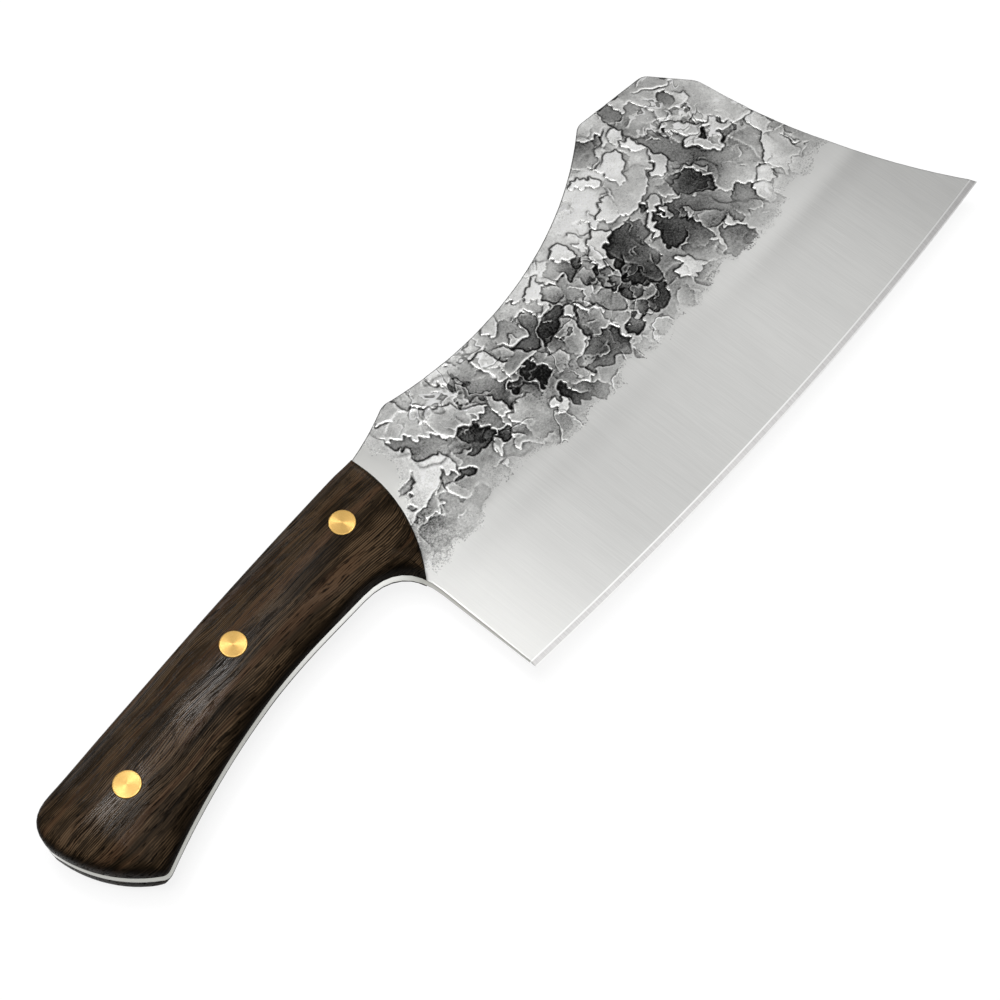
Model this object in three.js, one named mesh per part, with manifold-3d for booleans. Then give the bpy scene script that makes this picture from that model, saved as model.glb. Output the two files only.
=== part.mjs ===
// Butcher knife with a full tang: one forged blade, two wooden handle scales and three
// two-piece cutler's rivets, each a sleeve half and a pin half pressed together through the handle.
//
// Millimetres, +Z up. The knife lies on its side. It is drawn with x running from the heel of the
// cutting edge to the tip, y from the cutting edge to the spine, and z = 0 on the blade's middle
// plane. Last, it is moved so that the middle of its footprint is the origin and it lies on z = 0.
import * as THREE from "three";
import { mergeVertices } from "three/addons/utils/BufferGeometryUtils.js";
import Module from "manifold-3d";

// Cutting edge and grind
const EDGE_LENGTH = 194.5; // heel to tip, in a straight line
const EDGE_BELLY = 3.9; // how far the edge bows out between them
const BLADE_THICKNESS = 3.5; // spine, flats and tang
const GRIND_HEIGHT = 39.5; // edge to the line where the grind runs out
const BEVEL_WIDTH = 2; // sharpened bevel along the edge
const BEVEL_THICKNESS = 1.4; // steel left at the bevel's shoulder
const EDGE_LAND = 0.1; // width of the very edge

// Front end and spine: distances from the heel, heights above the line from heel to tip
const FRONT_SCOOP = 5; // hollow of the front end
const NOSE_X = 170.7;
const NOSE_HEIGHT = 82;
const CREST_FRONT_X = 161.6;
const CREST_FRONT_HEIGHT = 95.3;
const CREST_REAR_X = 135.2;
const CREST_REAR_HEIGHT = 98.2;
const SPINE_SCOOP = 12; // hollow of the spine behind the crest
const SHOULDER_X = 30;
const SHOULDER_HEIGHT = 78.8;
const SHOULDER_HOLLOW = 0.5; // hollow of the spine between the shoulder and the scales
const CORNER_ROUND = 2;

// Tang and handle outline
const NECK_X = 12.6; // top of the scales' front end
const NECK_HEIGHT = 73.7;
const TOP_BOW = 1; // crown of the handle's upper side
const BUTT_TOP_X = -110.9;
const BUTT_TOP_HEIGHT = 65.6;
const BUTT_ROUND = 9;
const BUTT_BOW = 5;
const BUTT_BELLY_X = -97.2;
const BUTT_BELLY_HEIGHT = 31.5;
const BELLY_CORNER_ROUND = 1.5;
const BELLY_HOLLOW = 2.1; // hollow of the handle's lower side towards the butt
const WAIST_X = -38;
const WAIST_HEIGHT = 45; // handle's lower side at the front
const WAIST_ROUND = 10;
const NOTCH_ROUND = 14; // finger notch behind the heel

// Handle scales
const SCALE_TIP_HEIGHT = 35.8; // lower end of the scales' front end, on the finger notch
const SCALE_FRONT_BOW = 4; // bulge of that front end towards the blade
const SCALE_HEIGHT = 8.6; // at the two swells
const FRONT_FALL = 1.1; // how much lower the front end is than the swells
const WAIST_FALL = 0.5; // how much lower the dip between the swells is
const SIDE_FULLNESS = 2.15; // exponent of the rounded section: 2 is an ellipse, more is squarer
const BUTT_FULLNESS = 2.5;
const FRONT_FULLNESS = 3.5; // front end and finger notch

// Rivets
const FRONT_RIVET_X = -4.8;
const RIVET_PITCH = 42;
const FRONT_RIVET_RISE = 2.4; // how far each rivet lies above the middle of the handle there
const MIDDLE_RIVET_RISE = 0.2;
const REAR_RIVET_RISE = 0.7;
const HEAD_DIAMETER = 7;
const HEAD_THICKNESS = 2.2; // rim to seat
const HEAD_DOME = 0.5;
const HEAD_SINK = 0.2; // rim below the crown of the scale
const SLEEVE_DIAMETER = 5;
const PIN_DIAMETER = 3;
const PIN_REACH = 6; // how far the pin goes into the sleeve, past the blade's middle plane
const BORE_SPARE = 0.6; // bore left free past the pin's end
const RIVET_CLEARANCE = 0.12; // round each rivet, in its holes
const PIN_CLEARANCE = 0.08; // round the pin, in its sleeve
const SLEEVE_END_GAP = 0.3; // sleeve's end to the pin half's head

// Steps of the faceted surfaces
const ROUND_STEPS = 8;
const EDGE_STEPS = 28;
const BOW_STEPS = 14;
const TURN_STEPS = 28; // facets round a rivet
const DOME_STEPS = 4;
const SECTION_ANGLES = [10, 22, 35, 48, 61, 74, 85]; // degrees round a scale's section, tang to crown

const wasm = await Module();
wasm.setup();

const steel = new THREE.MeshStandardMaterial({ color: 0xb9bab8, roughness: 0.38, metalness: 1 });
const wood = new THREE.MeshStandardMaterial({ color: 0x33271e, roughness: 0.45, metalness: 0 });
const brass = new THREE.MeshStandardMaterial({ color: 0xe9b95a, roughness: 0.25, metalness: 1 });

// Solids for cutting

function solidOf(geometry) {
  const bare = geometry.index ? geometry.toNonIndexed() : geometry.clone();
  bare.deleteAttribute("normal");
  bare.deleteAttribute("uv");
  const merged = mergeVertices(bare, 1e-4);
  return new wasm.Manifold(
    new wasm.Mesh({
      numProp: 3,
      vertProperties: new Float32Array(merged.attributes.position.array),
      triVerts: new Uint32Array(merged.index.array),
    }),
  );
}

function geometryOf(solid) {
  const mesh = solid.getMesh();
  const geometry = new THREE.BufferGeometry();
  geometry.setAttribute("position", new THREE.BufferAttribute(mesh.vertProperties, mesh.numProp));
  geometry.setIndex(new THREE.BufferAttribute(mesh.triVerts, 1));
  geometry.computeVertexNormals();
  return geometry;
}

function cylinderAt(centre, radius, low, high) {
  const geometry = new THREE.CylinderGeometry(radius, radius, high - low, TURN_STEPS);
  geometry.rotateX(Math.PI / 2);
  geometry.translate(centre.x, centre.y, (low + high) / 2);
  return solidOf(geometry);
}

// Outline of the blade and tang

// The middle of the arc from start to end that bows out to the right of the way by bow.
function bowMiddle(start, end, bow) {
  const way = end.clone().sub(start).normalize();
  const middle = start.clone().add(end).multiplyScalar(0.5);
  return middle.add(new THREE.Vector2(way.y, -way.x).multiplyScalar(bow));
}

// Points of the side from start to end, a circular arc with that bow or a straight line, less what
// the rounded corners take of it at its two ends.
function sidePoints(start, end, bow, steps, startRound, endRound) {
  const chord = start.distanceTo(end);
  if (bow === 0) {
    return [start.clone().lerp(end, startRound / chord), end.clone().lerp(start, endRound / chord)];
  }
  const radius = (chord * chord) / (8 * bow) + bow / 2;
  const centre = bowMiddle(start, end, bow - radius);
  const sweep = 4 * Math.atan((2 * bow) / chord);
  const first = startRound / radius;
  const last = sweep - endRound / radius;
  return Array.from({ length: steps + 1 }, (_, i) =>
    start.clone().rotateAround(centre, first + ((last - first) * i) / steps),
  );
}

// Corners in anticlockwise order. round is what the rounded corner takes of each side, and bow is
// how far the side from this corner to the next stands out, or is hollow where it is negative.
const corner = (name, x, y, round, bow, steps = BOW_STEPS) => ({
  name,
  at: new THREE.Vector2(x, y),
  round,
  bow,
  steps,
});
const CORNERS = [
  corner("heel", 0, 0, 0, EDGE_BELLY, EDGE_STEPS),
  corner("tip", EDGE_LENGTH, 0, 0, -FRONT_SCOOP),
  corner("nose", NOSE_X, NOSE_HEIGHT, CORNER_ROUND, 0),
  corner("crest_front", CREST_FRONT_X, CREST_FRONT_HEIGHT, CORNER_ROUND, 0),
  corner("crest_rear", CREST_REAR_X, CREST_REAR_HEIGHT, CORNER_ROUND, -SPINE_SCOOP, EDGE_STEPS),
  corner("shoulder", SHOULDER_X, SHOULDER_HEIGHT, CORNER_ROUND, -SHOULDER_HOLLOW),
  corner("neck", NECK_X, NECK_HEIGHT, 0, TOP_BOW),
  corner("butt_top", BUTT_TOP_X, BUTT_TOP_HEIGHT, BUTT_ROUND, BUTT_BOW),
  corner("butt_belly", BUTT_BELLY_X, BUTT_BELLY_HEIGHT, BELLY_CORNER_ROUND, -BELLY_HOLLOW),
  corner("waist", WAIST_X, WAIST_HEIGHT, WAIST_ROUND, 0),
  corner("notch", 0, WAIST_HEIGHT, NOTCH_ROUND, 0),
];

// The outline's points, each with the name of the corner that it belongs to or follows.
function outlinePoints() {
  const sides = CORNERS.map((here, i) => {
    const next = CORNERS[(i + 1) % CORNERS.length];
    return sidePoints(here.at, next.at, here.bow, here.steps, here.round, next.round);
  });
  return CORNERS.flatMap(({ name, at, round }, i) => {
    const before = sides[(i + sides.length - 1) % sides.length].at(-1);
    const bend = new THREE.QuadraticBezierCurve(before, at, sides[i][0]);
    const turn = round > 0 ? bend.getPoints(ROUND_STEPS).slice(0, -1) : [];
    return [...turn, ...sides[i].slice(0, -1)].map((point) => ({ at: point, name }));
  });
}
const OUTLINE = outlinePoints();

// The outline's lowest and highest point on an upright line through x.
function spanAt(x) {
  const heights = OUTLINE.flatMap(({ at: a }, i) => {
    const b = OUTLINE[(i + 1) % OUTLINE.length].at;
    return (a.x - x) * (b.x - x) <= 0 && a.x !== b.x
      ? [a.y + ((b.y - a.y) * (x - a.x)) / (b.x - a.x)]
      : [];
  });
  return { low: Math.min(...heights), high: Math.max(...heights) };
}

// Rivet centres, along the middle of the handle
function rivetCentre(x, rise) {
  const { low, high } = spanAt(x);
  return new THREE.Vector2(x, (low + high) / 2 + rise);
}
const FRONT_RIVET = rivetCentre(FRONT_RIVET_X, FRONT_RIVET_RISE);
const MIDDLE_RIVET = rivetCentre(FRONT_RIVET_X - RIVET_PITCH, MIDDLE_RIVET_RISE);
const REAR_RIVET = rivetCentre(FRONT_RIVET_X - 2 * RIVET_PITCH, REAR_RIVET_RISE);
const RIVETS = [
  { name: "front", at: FRONT_RIVET },
  { name: "middle", at: MIDDLE_RIVET },
  { name: "rear", at: REAR_RIVET },
];

// Blade with its tang

// The arc of the cutting edge, run on a little past the heel and the tip, as straight steps.
function edgePath(steps, overrun) {
  const radius = (EDGE_LENGTH * EDGE_LENGTH) / (8 * EDGE_BELLY) + EDGE_BELLY / 2;
  const centre = new THREE.Vector2(EDGE_LENGTH / 2, radius - EDGE_BELLY);
  const half = Math.asin(EDGE_LENGTH / 2 / radius) + overrun / radius;
  const stations = Array.from({ length: steps + 1 }, (_, i) => {
    const angle = half * ((2 * i) / steps - 1) - Math.PI / 2;
    return new THREE.Vector3(centre.x + radius * Math.cos(angle), centre.y + radius * Math.sin(angle), 0);
  });
  const path = new THREE.CurvePath();
  stations.slice(1).forEach((end, i) => path.add(new THREE.LineCurve3(stations[i], end)));
  return path;
}

// Everything that grinding takes off one side of the blade: side is 1 for +z and -1 for -z.
function grindWedge(side) {
  const section = [
    [-BEVEL_WIDTH, EDGE_LAND / 2],
    [0, EDGE_LAND / 2],
    [BEVEL_WIDTH, BEVEL_THICKNESS / 2],
    [GRIND_HEIGHT, BLADE_THICKNESS / 2],
    [GRIND_HEIGHT, BLADE_THICKNESS],
    [-BEVEL_WIDTH, BLADE_THICKNESS],
  ];
  // The sweep lays a section's x along -z and its y towards the spine.
  const shape = new THREE.Shape(section.map(([inward, z]) => new THREE.Vector2(-side * z, inward)));
  const extrudePath = edgePath(EDGE_STEPS, 2 * BLADE_THICKNESS);
  return solidOf(
    new THREE.ExtrudeGeometry(shape, { steps: EDGE_STEPS, extrudePath, bevelEnabled: false }),
  );
}

function bladeGeometry() {
  const shape = new THREE.Shape(OUTLINE.map(({ at }) => at));
  for (const { at } of RIVETS) {
    const hole = new THREE.Path();
    hole.absarc(at.x, at.y, SLEEVE_DIAMETER / 2 + RIVET_CLEARANCE, 0, 2 * Math.PI, true);
    shape.holes.push(hole);
  }
  const blank = new THREE.ExtrudeGeometry(shape, {
    depth: BLADE_THICKNESS,
    bevelEnabled: false,
    curveSegments: TURN_STEPS,
  });
  blank.translate(0, 0, -BLADE_THICKNESS / 2);
  return geometryOf(solidOf(blank).subtract(grindWedge(1)).subtract(grindWedge(-1)));
}

// Handle scales

// Height of a scale's crown over the tang: a swell at the middle and rear rivets, a dip between
// them and a fall towards the front end.
function crownHeight(x) {
  const behind = Math.max(0, MIDDLE_RIVET.x - x) / (MIDDLE_RIVET.x - REAR_RIVET.x);
  const ahead = Math.max(0, x - MIDDLE_RIVET.x) / (NECK_X - MIDDLE_RIVET.x);
  const dip = (WAIST_FALL * (1 - Math.cos(2 * Math.PI * Math.min(behind, 1)))) / 2;
  const fall = (FRONT_FALL * (1 - Math.cos(Math.PI * Math.min(ahead, 1)))) / 2;
  return SCALE_HEIGHT - dip - fall;
}

// A scale's outline on the tang, anticlockwise from the neck: round the butt to its lower tip on
// the finger notch, then up its bowed front end.
function scaleOutline() {
  const names = ["neck", "butt_top", "butt_belly", "waist", "notch"];
  const sides = OUTLINE.filter(
    ({ at, name }) => names.includes(name) && (name !== "notch" || at.y > SCALE_TIP_HEIGHT),
  );
  const notch = OUTLINE.filter(({ name }) => name === "notch");
  const below = notch.findIndex(({ at }) => at.y <= SCALE_TIP_HEIGHT);
  const [a, b] = [notch[below - 1].at, notch[below].at];
  const tip = a.clone().lerp(b, (a.y - SCALE_TIP_HEIGHT) / (a.y - b.y));
  const front = sidePoints(tip, sides[0].at, SCALE_FRONT_BOW, BOW_STEPS, 0, 0).slice(0, -1);
  const fullnessAt = ({ at, name }) => {
    if (name === "butt_top") return BUTT_FULLNESS;
    if (name !== "notch") return SIDE_FULLNESS;
    return THREE.MathUtils.mapLinear(at.x, -NOTCH_ROUND, tip.x, SIDE_FULLNESS, FRONT_FULLNESS);
  };
  return [
    ...sides.map((point) => ({ at: point.at, fullness: fullnessAt(point) })),
    ...front.map((at) => ({ at, fullness: FRONT_FULLNESS })),
  ];
}

// The nearest point of the line through the rivets.
function ribFoot(at) {
  const line = REAR_RIVET.distanceTo(FRONT_RIVET);
  const way = FRONT_RIVET.clone().sub(REAR_RIVET).divideScalar(line);
  const along = THREE.MathUtils.clamp(at.clone().sub(REAR_RIVET).dot(way), 0, line);
  return REAR_RIVET.clone().addScaledVector(way, along);
}

// A scale on z = 0: its outline, then rings that draw in along ribs towards the rivet line on a
// rounded section, and a cap on the crown.
function scaleBlank() {
  const outline = scaleOutline();
  const count = outline.length;
  const ringAt = (angle) =>
    outline.map(({ at, fullness }) => {
      const power = 2 / fullness;
      const inward = 1 - Math.cos(angle) ** power;
      const spot = at.clone().lerp(ribFoot(at), inward);
      const rise = Math.sin(angle) ** power;
      return [spot.x, spot.y, crownHeight(spot.x) * rise];
    });
  const rings = [
    outline.map(({ at }) => [at.x, at.y, 0]),
    ...SECTION_ANGLES.map((degrees) => ringAt(THREE.MathUtils.degToRad(degrees))),
  ];
  const faces = [];
  for (let ring = 0; ring + 1 < rings.length; ring++) {
    for (let i = 0; i < count; i++) {
      const a = ring * count + i;
      const b = ring * count + ((i + 1) % count);
      faces.push(a, b, b + count, a, b + count, a + count);
    }
  }
  const cap = (ring) =>
    THREE.ShapeUtils.triangulateShape(rings[ring].map(([x, y]) => new THREE.Vector2(x, y)), []);
  const crown = (rings.length - 1) * count;
  for (const [a, b, c] of cap(0)) faces.push(c, b, a);
  for (const [a, b, c] of cap(rings.length - 1)) faces.push(crown + a, crown + b, crown + c);
  const geometry = new THREE.BufferGeometry();
  geometry.setAttribute("position", new THREE.Float32BufferAttribute(rings.flat(2), 3));
  geometry.setIndex(faces);
  return solidOf(geometry);
}

// Level of a rivet head's seat, over the tang.
const seatLevel = (at) => crownHeight(at.x) - HEAD_SINK - HEAD_THICKNESS;

function scaleGeometry() {
  let scale = scaleBlank();
  for (const { at } of RIVETS) {
    const over = SCALE_HEIGHT + HEAD_DIAMETER;
    scale = scale
      .subtract(cylinderAt(at, SLEEVE_DIAMETER / 2 + RIVET_CLEARANCE, -SCALE_HEIGHT, over))
      .subtract(cylinderAt(at, HEAD_DIAMETER / 2 + RIVET_CLEARANCE, seatLevel(at), over));
  }
  return geometryOf(scale);
}

// Rivets, about their own axis with the head up and z = 0 on the blade's middle plane

function turned(profile) {
  const geometry = new THREE.LatheGeometry(
    profile.map(([radius, z]) => new THREE.Vector2(radius, z)),
    TURN_STEPS,
  );
  return geometry.rotateX(Math.PI / 2);
}

// Head from its seat outwards: underside, rim and dome.
function headProfile(seat) {
  const rim = seat + HEAD_THICKNESS;
  const radius = HEAD_DIAMETER / 2;
  const dome = Array.from({ length: DOME_STEPS + 1 }, (_, i) => {
    const out = 1 - i / DOME_STEPS;
    return [radius * out, rim + HEAD_DOME * (1 - out * out)];
  });
  return [[radius, seat], ...dome];
}

function sleeveGeometry(seat) {
  const bore = PIN_DIAMETER / 2 + PIN_CLEARANCE;
  const boreEnd = PIN_REACH + BORE_SPARE;
  const end = SLEEVE_END_GAP - seat;
  return turned([
    [0, boreEnd],
    [bore, boreEnd],
    [bore, end],
    [SLEEVE_DIAMETER / 2, end],
    [SLEEVE_DIAMETER / 2, seat],
    ...headProfile(seat),
  ]);
}

function pinGeometry(seat) {
  return turned([
    [0, -PIN_REACH],
    [PIN_DIAMETER / 2, -PIN_REACH],
    [PIN_DIAMETER / 2, seat],
    ...headProfile(seat),
  ]);
}

// Assembly

function named(name, geometry, material) {
  const mesh = new THREE.Mesh(geometry, material);
  mesh.name = name;
  return mesh;
}

const knife = new THREE.Group();
knife.add(named("blade", bladeGeometry(), steel));

const scale = scaleGeometry();
const rightScale = named("right_scale", scale, wood);
rightScale.position.z = BLADE_THICKNESS / 2;
const leftScale = named("left_scale", scale, wood);
leftScale.position.z = -BLADE_THICKNESS / 2;
leftScale.scale.z = -1;
knife.add(rightScale, leftScale);

for (const { name, at } of RIVETS) {
  const seat = BLADE_THICKNESS / 2 + seatLevel(at);
  const rivet = new THREE.Group();
  rivet.position.set(at.x, at.y, 0);
  const pin = named(`${name}_rivet_pin`, pinGeometry(seat), brass);
  pin.rotation.x = Math.PI;
  rivet.add(named(`${name}_rivet_sleeve`, sleeveGeometry(seat), brass), pin);
  knife.add(rivet);
}

// The knife's own frame: middle of the footprint, on the surface that it lies on.
const box = new THREE.Box3().setFromObject(knife, true);
const middle = box.getCenter(new THREE.Vector3());
knife.position.set(-middle.x, -middle.y, -box.min.z);

const part = new THREE.Group();
part.add(knife);
export default part;
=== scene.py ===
"""Butcher knife: forged blade with a full tang, two wenge scales and three two-piece brass rivets.

Shapes are worked out in millimetres in the heel frame: x from the heel of the cutting edge to the
tip, y from the edge to the spine, z = 0 on the blade's middle plane. They are then moved to where
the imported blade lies.
"""
import math

import bpy
import numpy as np
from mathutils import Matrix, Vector
from mathutils.geometry import delaunay_2d_cdt


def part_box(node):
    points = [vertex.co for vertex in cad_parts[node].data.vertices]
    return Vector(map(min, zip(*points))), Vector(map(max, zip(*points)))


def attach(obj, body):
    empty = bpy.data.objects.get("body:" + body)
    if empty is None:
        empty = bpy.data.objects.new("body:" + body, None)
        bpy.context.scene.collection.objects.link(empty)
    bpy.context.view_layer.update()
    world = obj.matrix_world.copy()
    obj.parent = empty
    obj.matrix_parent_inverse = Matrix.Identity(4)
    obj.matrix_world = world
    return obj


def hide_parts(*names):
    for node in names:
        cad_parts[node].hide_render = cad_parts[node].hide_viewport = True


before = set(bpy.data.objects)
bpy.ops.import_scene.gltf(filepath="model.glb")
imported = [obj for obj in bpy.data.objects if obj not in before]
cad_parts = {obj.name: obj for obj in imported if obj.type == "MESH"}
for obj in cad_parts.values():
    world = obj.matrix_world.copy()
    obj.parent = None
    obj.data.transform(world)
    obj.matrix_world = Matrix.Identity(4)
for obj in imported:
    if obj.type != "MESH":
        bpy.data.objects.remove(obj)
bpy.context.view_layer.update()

MM = 0.001

# Cutting edge and grind, mm
EDGE_LENGTH = 194.5
EDGE_BELLY = 3.9
EDGE_RADIUS = EDGE_LENGTH**2 / (8 * EDGE_BELLY) + EDGE_BELLY / 2
HALF_BLADE = 1.75
HALF_SHOULDER = 0.7
HALF_EDGE = 0.05
BEVEL_WIDTH = 2
GRIND_HEIGHT = 39.5
GRIND_END_X = -7  # the grind runs out behind the heel
RIM_ROUND = 0.3  # broken edge of spine and heel
RIM_SHARE = 0.6  # the most of the half thickness that it takes

# Spacing of the blade's points, mm
LATTICE = 0.24
OUTLINE_SPACING = 0.6
SIDE_X = (-115, 196)
SIDE_Y = (-4, 99)
RING_SPACE = 0.32  # kept clear of points inside the rim
HOLE_SPACE = 0.5
SHOULDER_SPACE = 0.3
INNER_RING = 1.4  # how far in the rim's last ring lies, as a multiple of its round
# Multiples of LATTICE along steps of the hammer scale, on the rest of it and elsewhere
RIGHT_SPACING = (1, 2, 8)
LEFT_SPACING = (2, 4, 8)

# Handle scales, mm
SCALE_SPACING = 0.8
SCALE_HEIGHT = 8.6
FRONT_FALL = 1.1
WAIST_FALL = 0.9
NECK_X = 12.6
NOTCH_ROUND = 22
WAIST_HEIGHT = 45
RIB_REACH = (-0.13, 1.03)  # ends of the ribs' feet, as shares of the way from rear to front rivet
RIB_TURNS = (0, 2, 4, 7, *np.arange(10, 89, 2.5), 88.5)  # degrees
# How square the scales' sections are: 2 is an ellipse, more is fuller
SIDE_FULLNESS = 2.15
NEAR_FULLNESS = 2.4
BUTT_FULLNESS = 4.0
NOTCH_FULLNESS = 10
FRONT_FULLNESS = 4
CORNER_FULLNESS = 1.4
HIDDEN_FULLNESS = 1.6
HIDDEN_TIP_FULLNESS = 1.15
BUTT_FACING = -0.55  # the outline's outward direction has less x at the butt
FRONT_FACING = 0.75  # and more at the front
FRONT_REACH = (3.5, 13, 34)  # distances up the front from its lower tip
BUTT_SMOOTHING = 120  # rounds
SECTION_SMOOTHING = 12
SCALE_CREASE = math.radians(50)

# Rivets, mm
HEAD_RADIUS = 3.5
HEAD_THICKNESS = 2.2
HEAD_DOME = 0.4
HEAD_EASE = 0.15
HEAD_SINK = 0.2
SLEEVE_RADIUS = 2.5
PIN_RADIUS = 1.5
PIN_REACH = 6
BORE_SPARE = 0.6
RIVET_CLEARANCE = 0.12
PIN_CLEARANCE = 0.08
SLEEVE_END_GAP = 0.3
TURNED_STEPS = 72
HOLE_FROM = 0.5  # the scales' holes are cut between these heights
HOLE_TO = 14
RIVET_CREASE = math.radians(40)

# Forged face, mm
FACE_X = (2.0, 186.0)
FACE_Y = (26.0, 101.0)
GRAIN = 0.12  # spacing of the samples that the face is worked out on
STEP = 0.17  # height of one level
TOP_LEVEL = 2.7
BASE_LEVEL = 1.1
RELIEF_DEPTH = 0.75  # at most
FLAKE_TILT = 0.65  # levels that a flake lies above or below its own at its ends
FLAKE_SHADING = 0.18
# Waves that make outlines ragged: size and amount
LOBES = (2.6, 1.7)
RAGS = (1.1, 0.28)
FRAYS = (0.6, 0.06)
CORNER_CUT = 0.2
NOISE_MARGIN = 4  # cells
# Leaves and torn lips: lower rear and upper front corner of where they lie, and their ranges
LEAF_AREA = ((14, 36), (176, 97))
LEAF_NARROWING = (0.4, 0.8)
LEAF_LOBES = (2, 6)
TEAR_AREA = ((8, 36), (174, 95))
TEAR_HALF_LENGTH = (0.8, 3.6)
TEAR_BEND = 0.16
TEAR_RISE = (0.5, 1.5)  # levels
TEAR_SENSE = (-0.6, 1)  # sunk or proud
TEAR_DECAY = 0.25  # share of the half length
FLOW_WIDTH = 0.04
CRACK_HALF_WIDTH = (0.12, 0.2)  # at the ends, and what the middle has more
CRACK_DEPTH = 1.3  # levels
CRACK_SOOT = 0.25
# Shades: bare ground, paler towards the spine over these heights, and worn at the lower border
BASE_SHADE = 0.66
SPINE_LIGHT = 0.15
SPINE_LIGHT_Y = (62, 80)
SHADE_CONTRAST = 1.05
LIP_LIGHT = 0.36
FOOT_SOOT = 0.34
LIP_SHARPNESS = 4.5
BORDER_SHADE = 0.84
BORDER_WEAR = 0.55
# Height over which the grind takes the hammering away, how far that border rises along the blade,
# and where the hammering starts ahead of the scales for heights along the front of the handle
GRIND_FADE = (33.0, 40.5)
BORDER_X = (0, 45, 60, 75, 95, 105, 125, 142, 152, 180)
BORDER_RISE = (3, 2.5, 0.5, 0, 1, 2.5, 0.5, 0.5, 4, 4)
RICASSO_Y = (36, 45, 50, 58, 64, 74)
RICASSO_X = (-4, -2, 8, 15, 19, 18)
RICASSO_FADE = 7
# Calm parts with no torn lips: by the scales, at the crest and along the spine, as x, y and radius
CALM = [(14, 62, 8), (20, 72, 5), (168, 72, 9), (160, 84, 5), (112, 66, 5), (44, 62, 4)]

blade_low, blade_high = (np.array(corner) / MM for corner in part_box("blade"))
SHIFT = np.array(
    [blade_high[0] - EDGE_LENGTH, blade_low[1] + EDGE_BELLY, (blade_low[2] + blade_high[2]) / 2]
)

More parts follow.
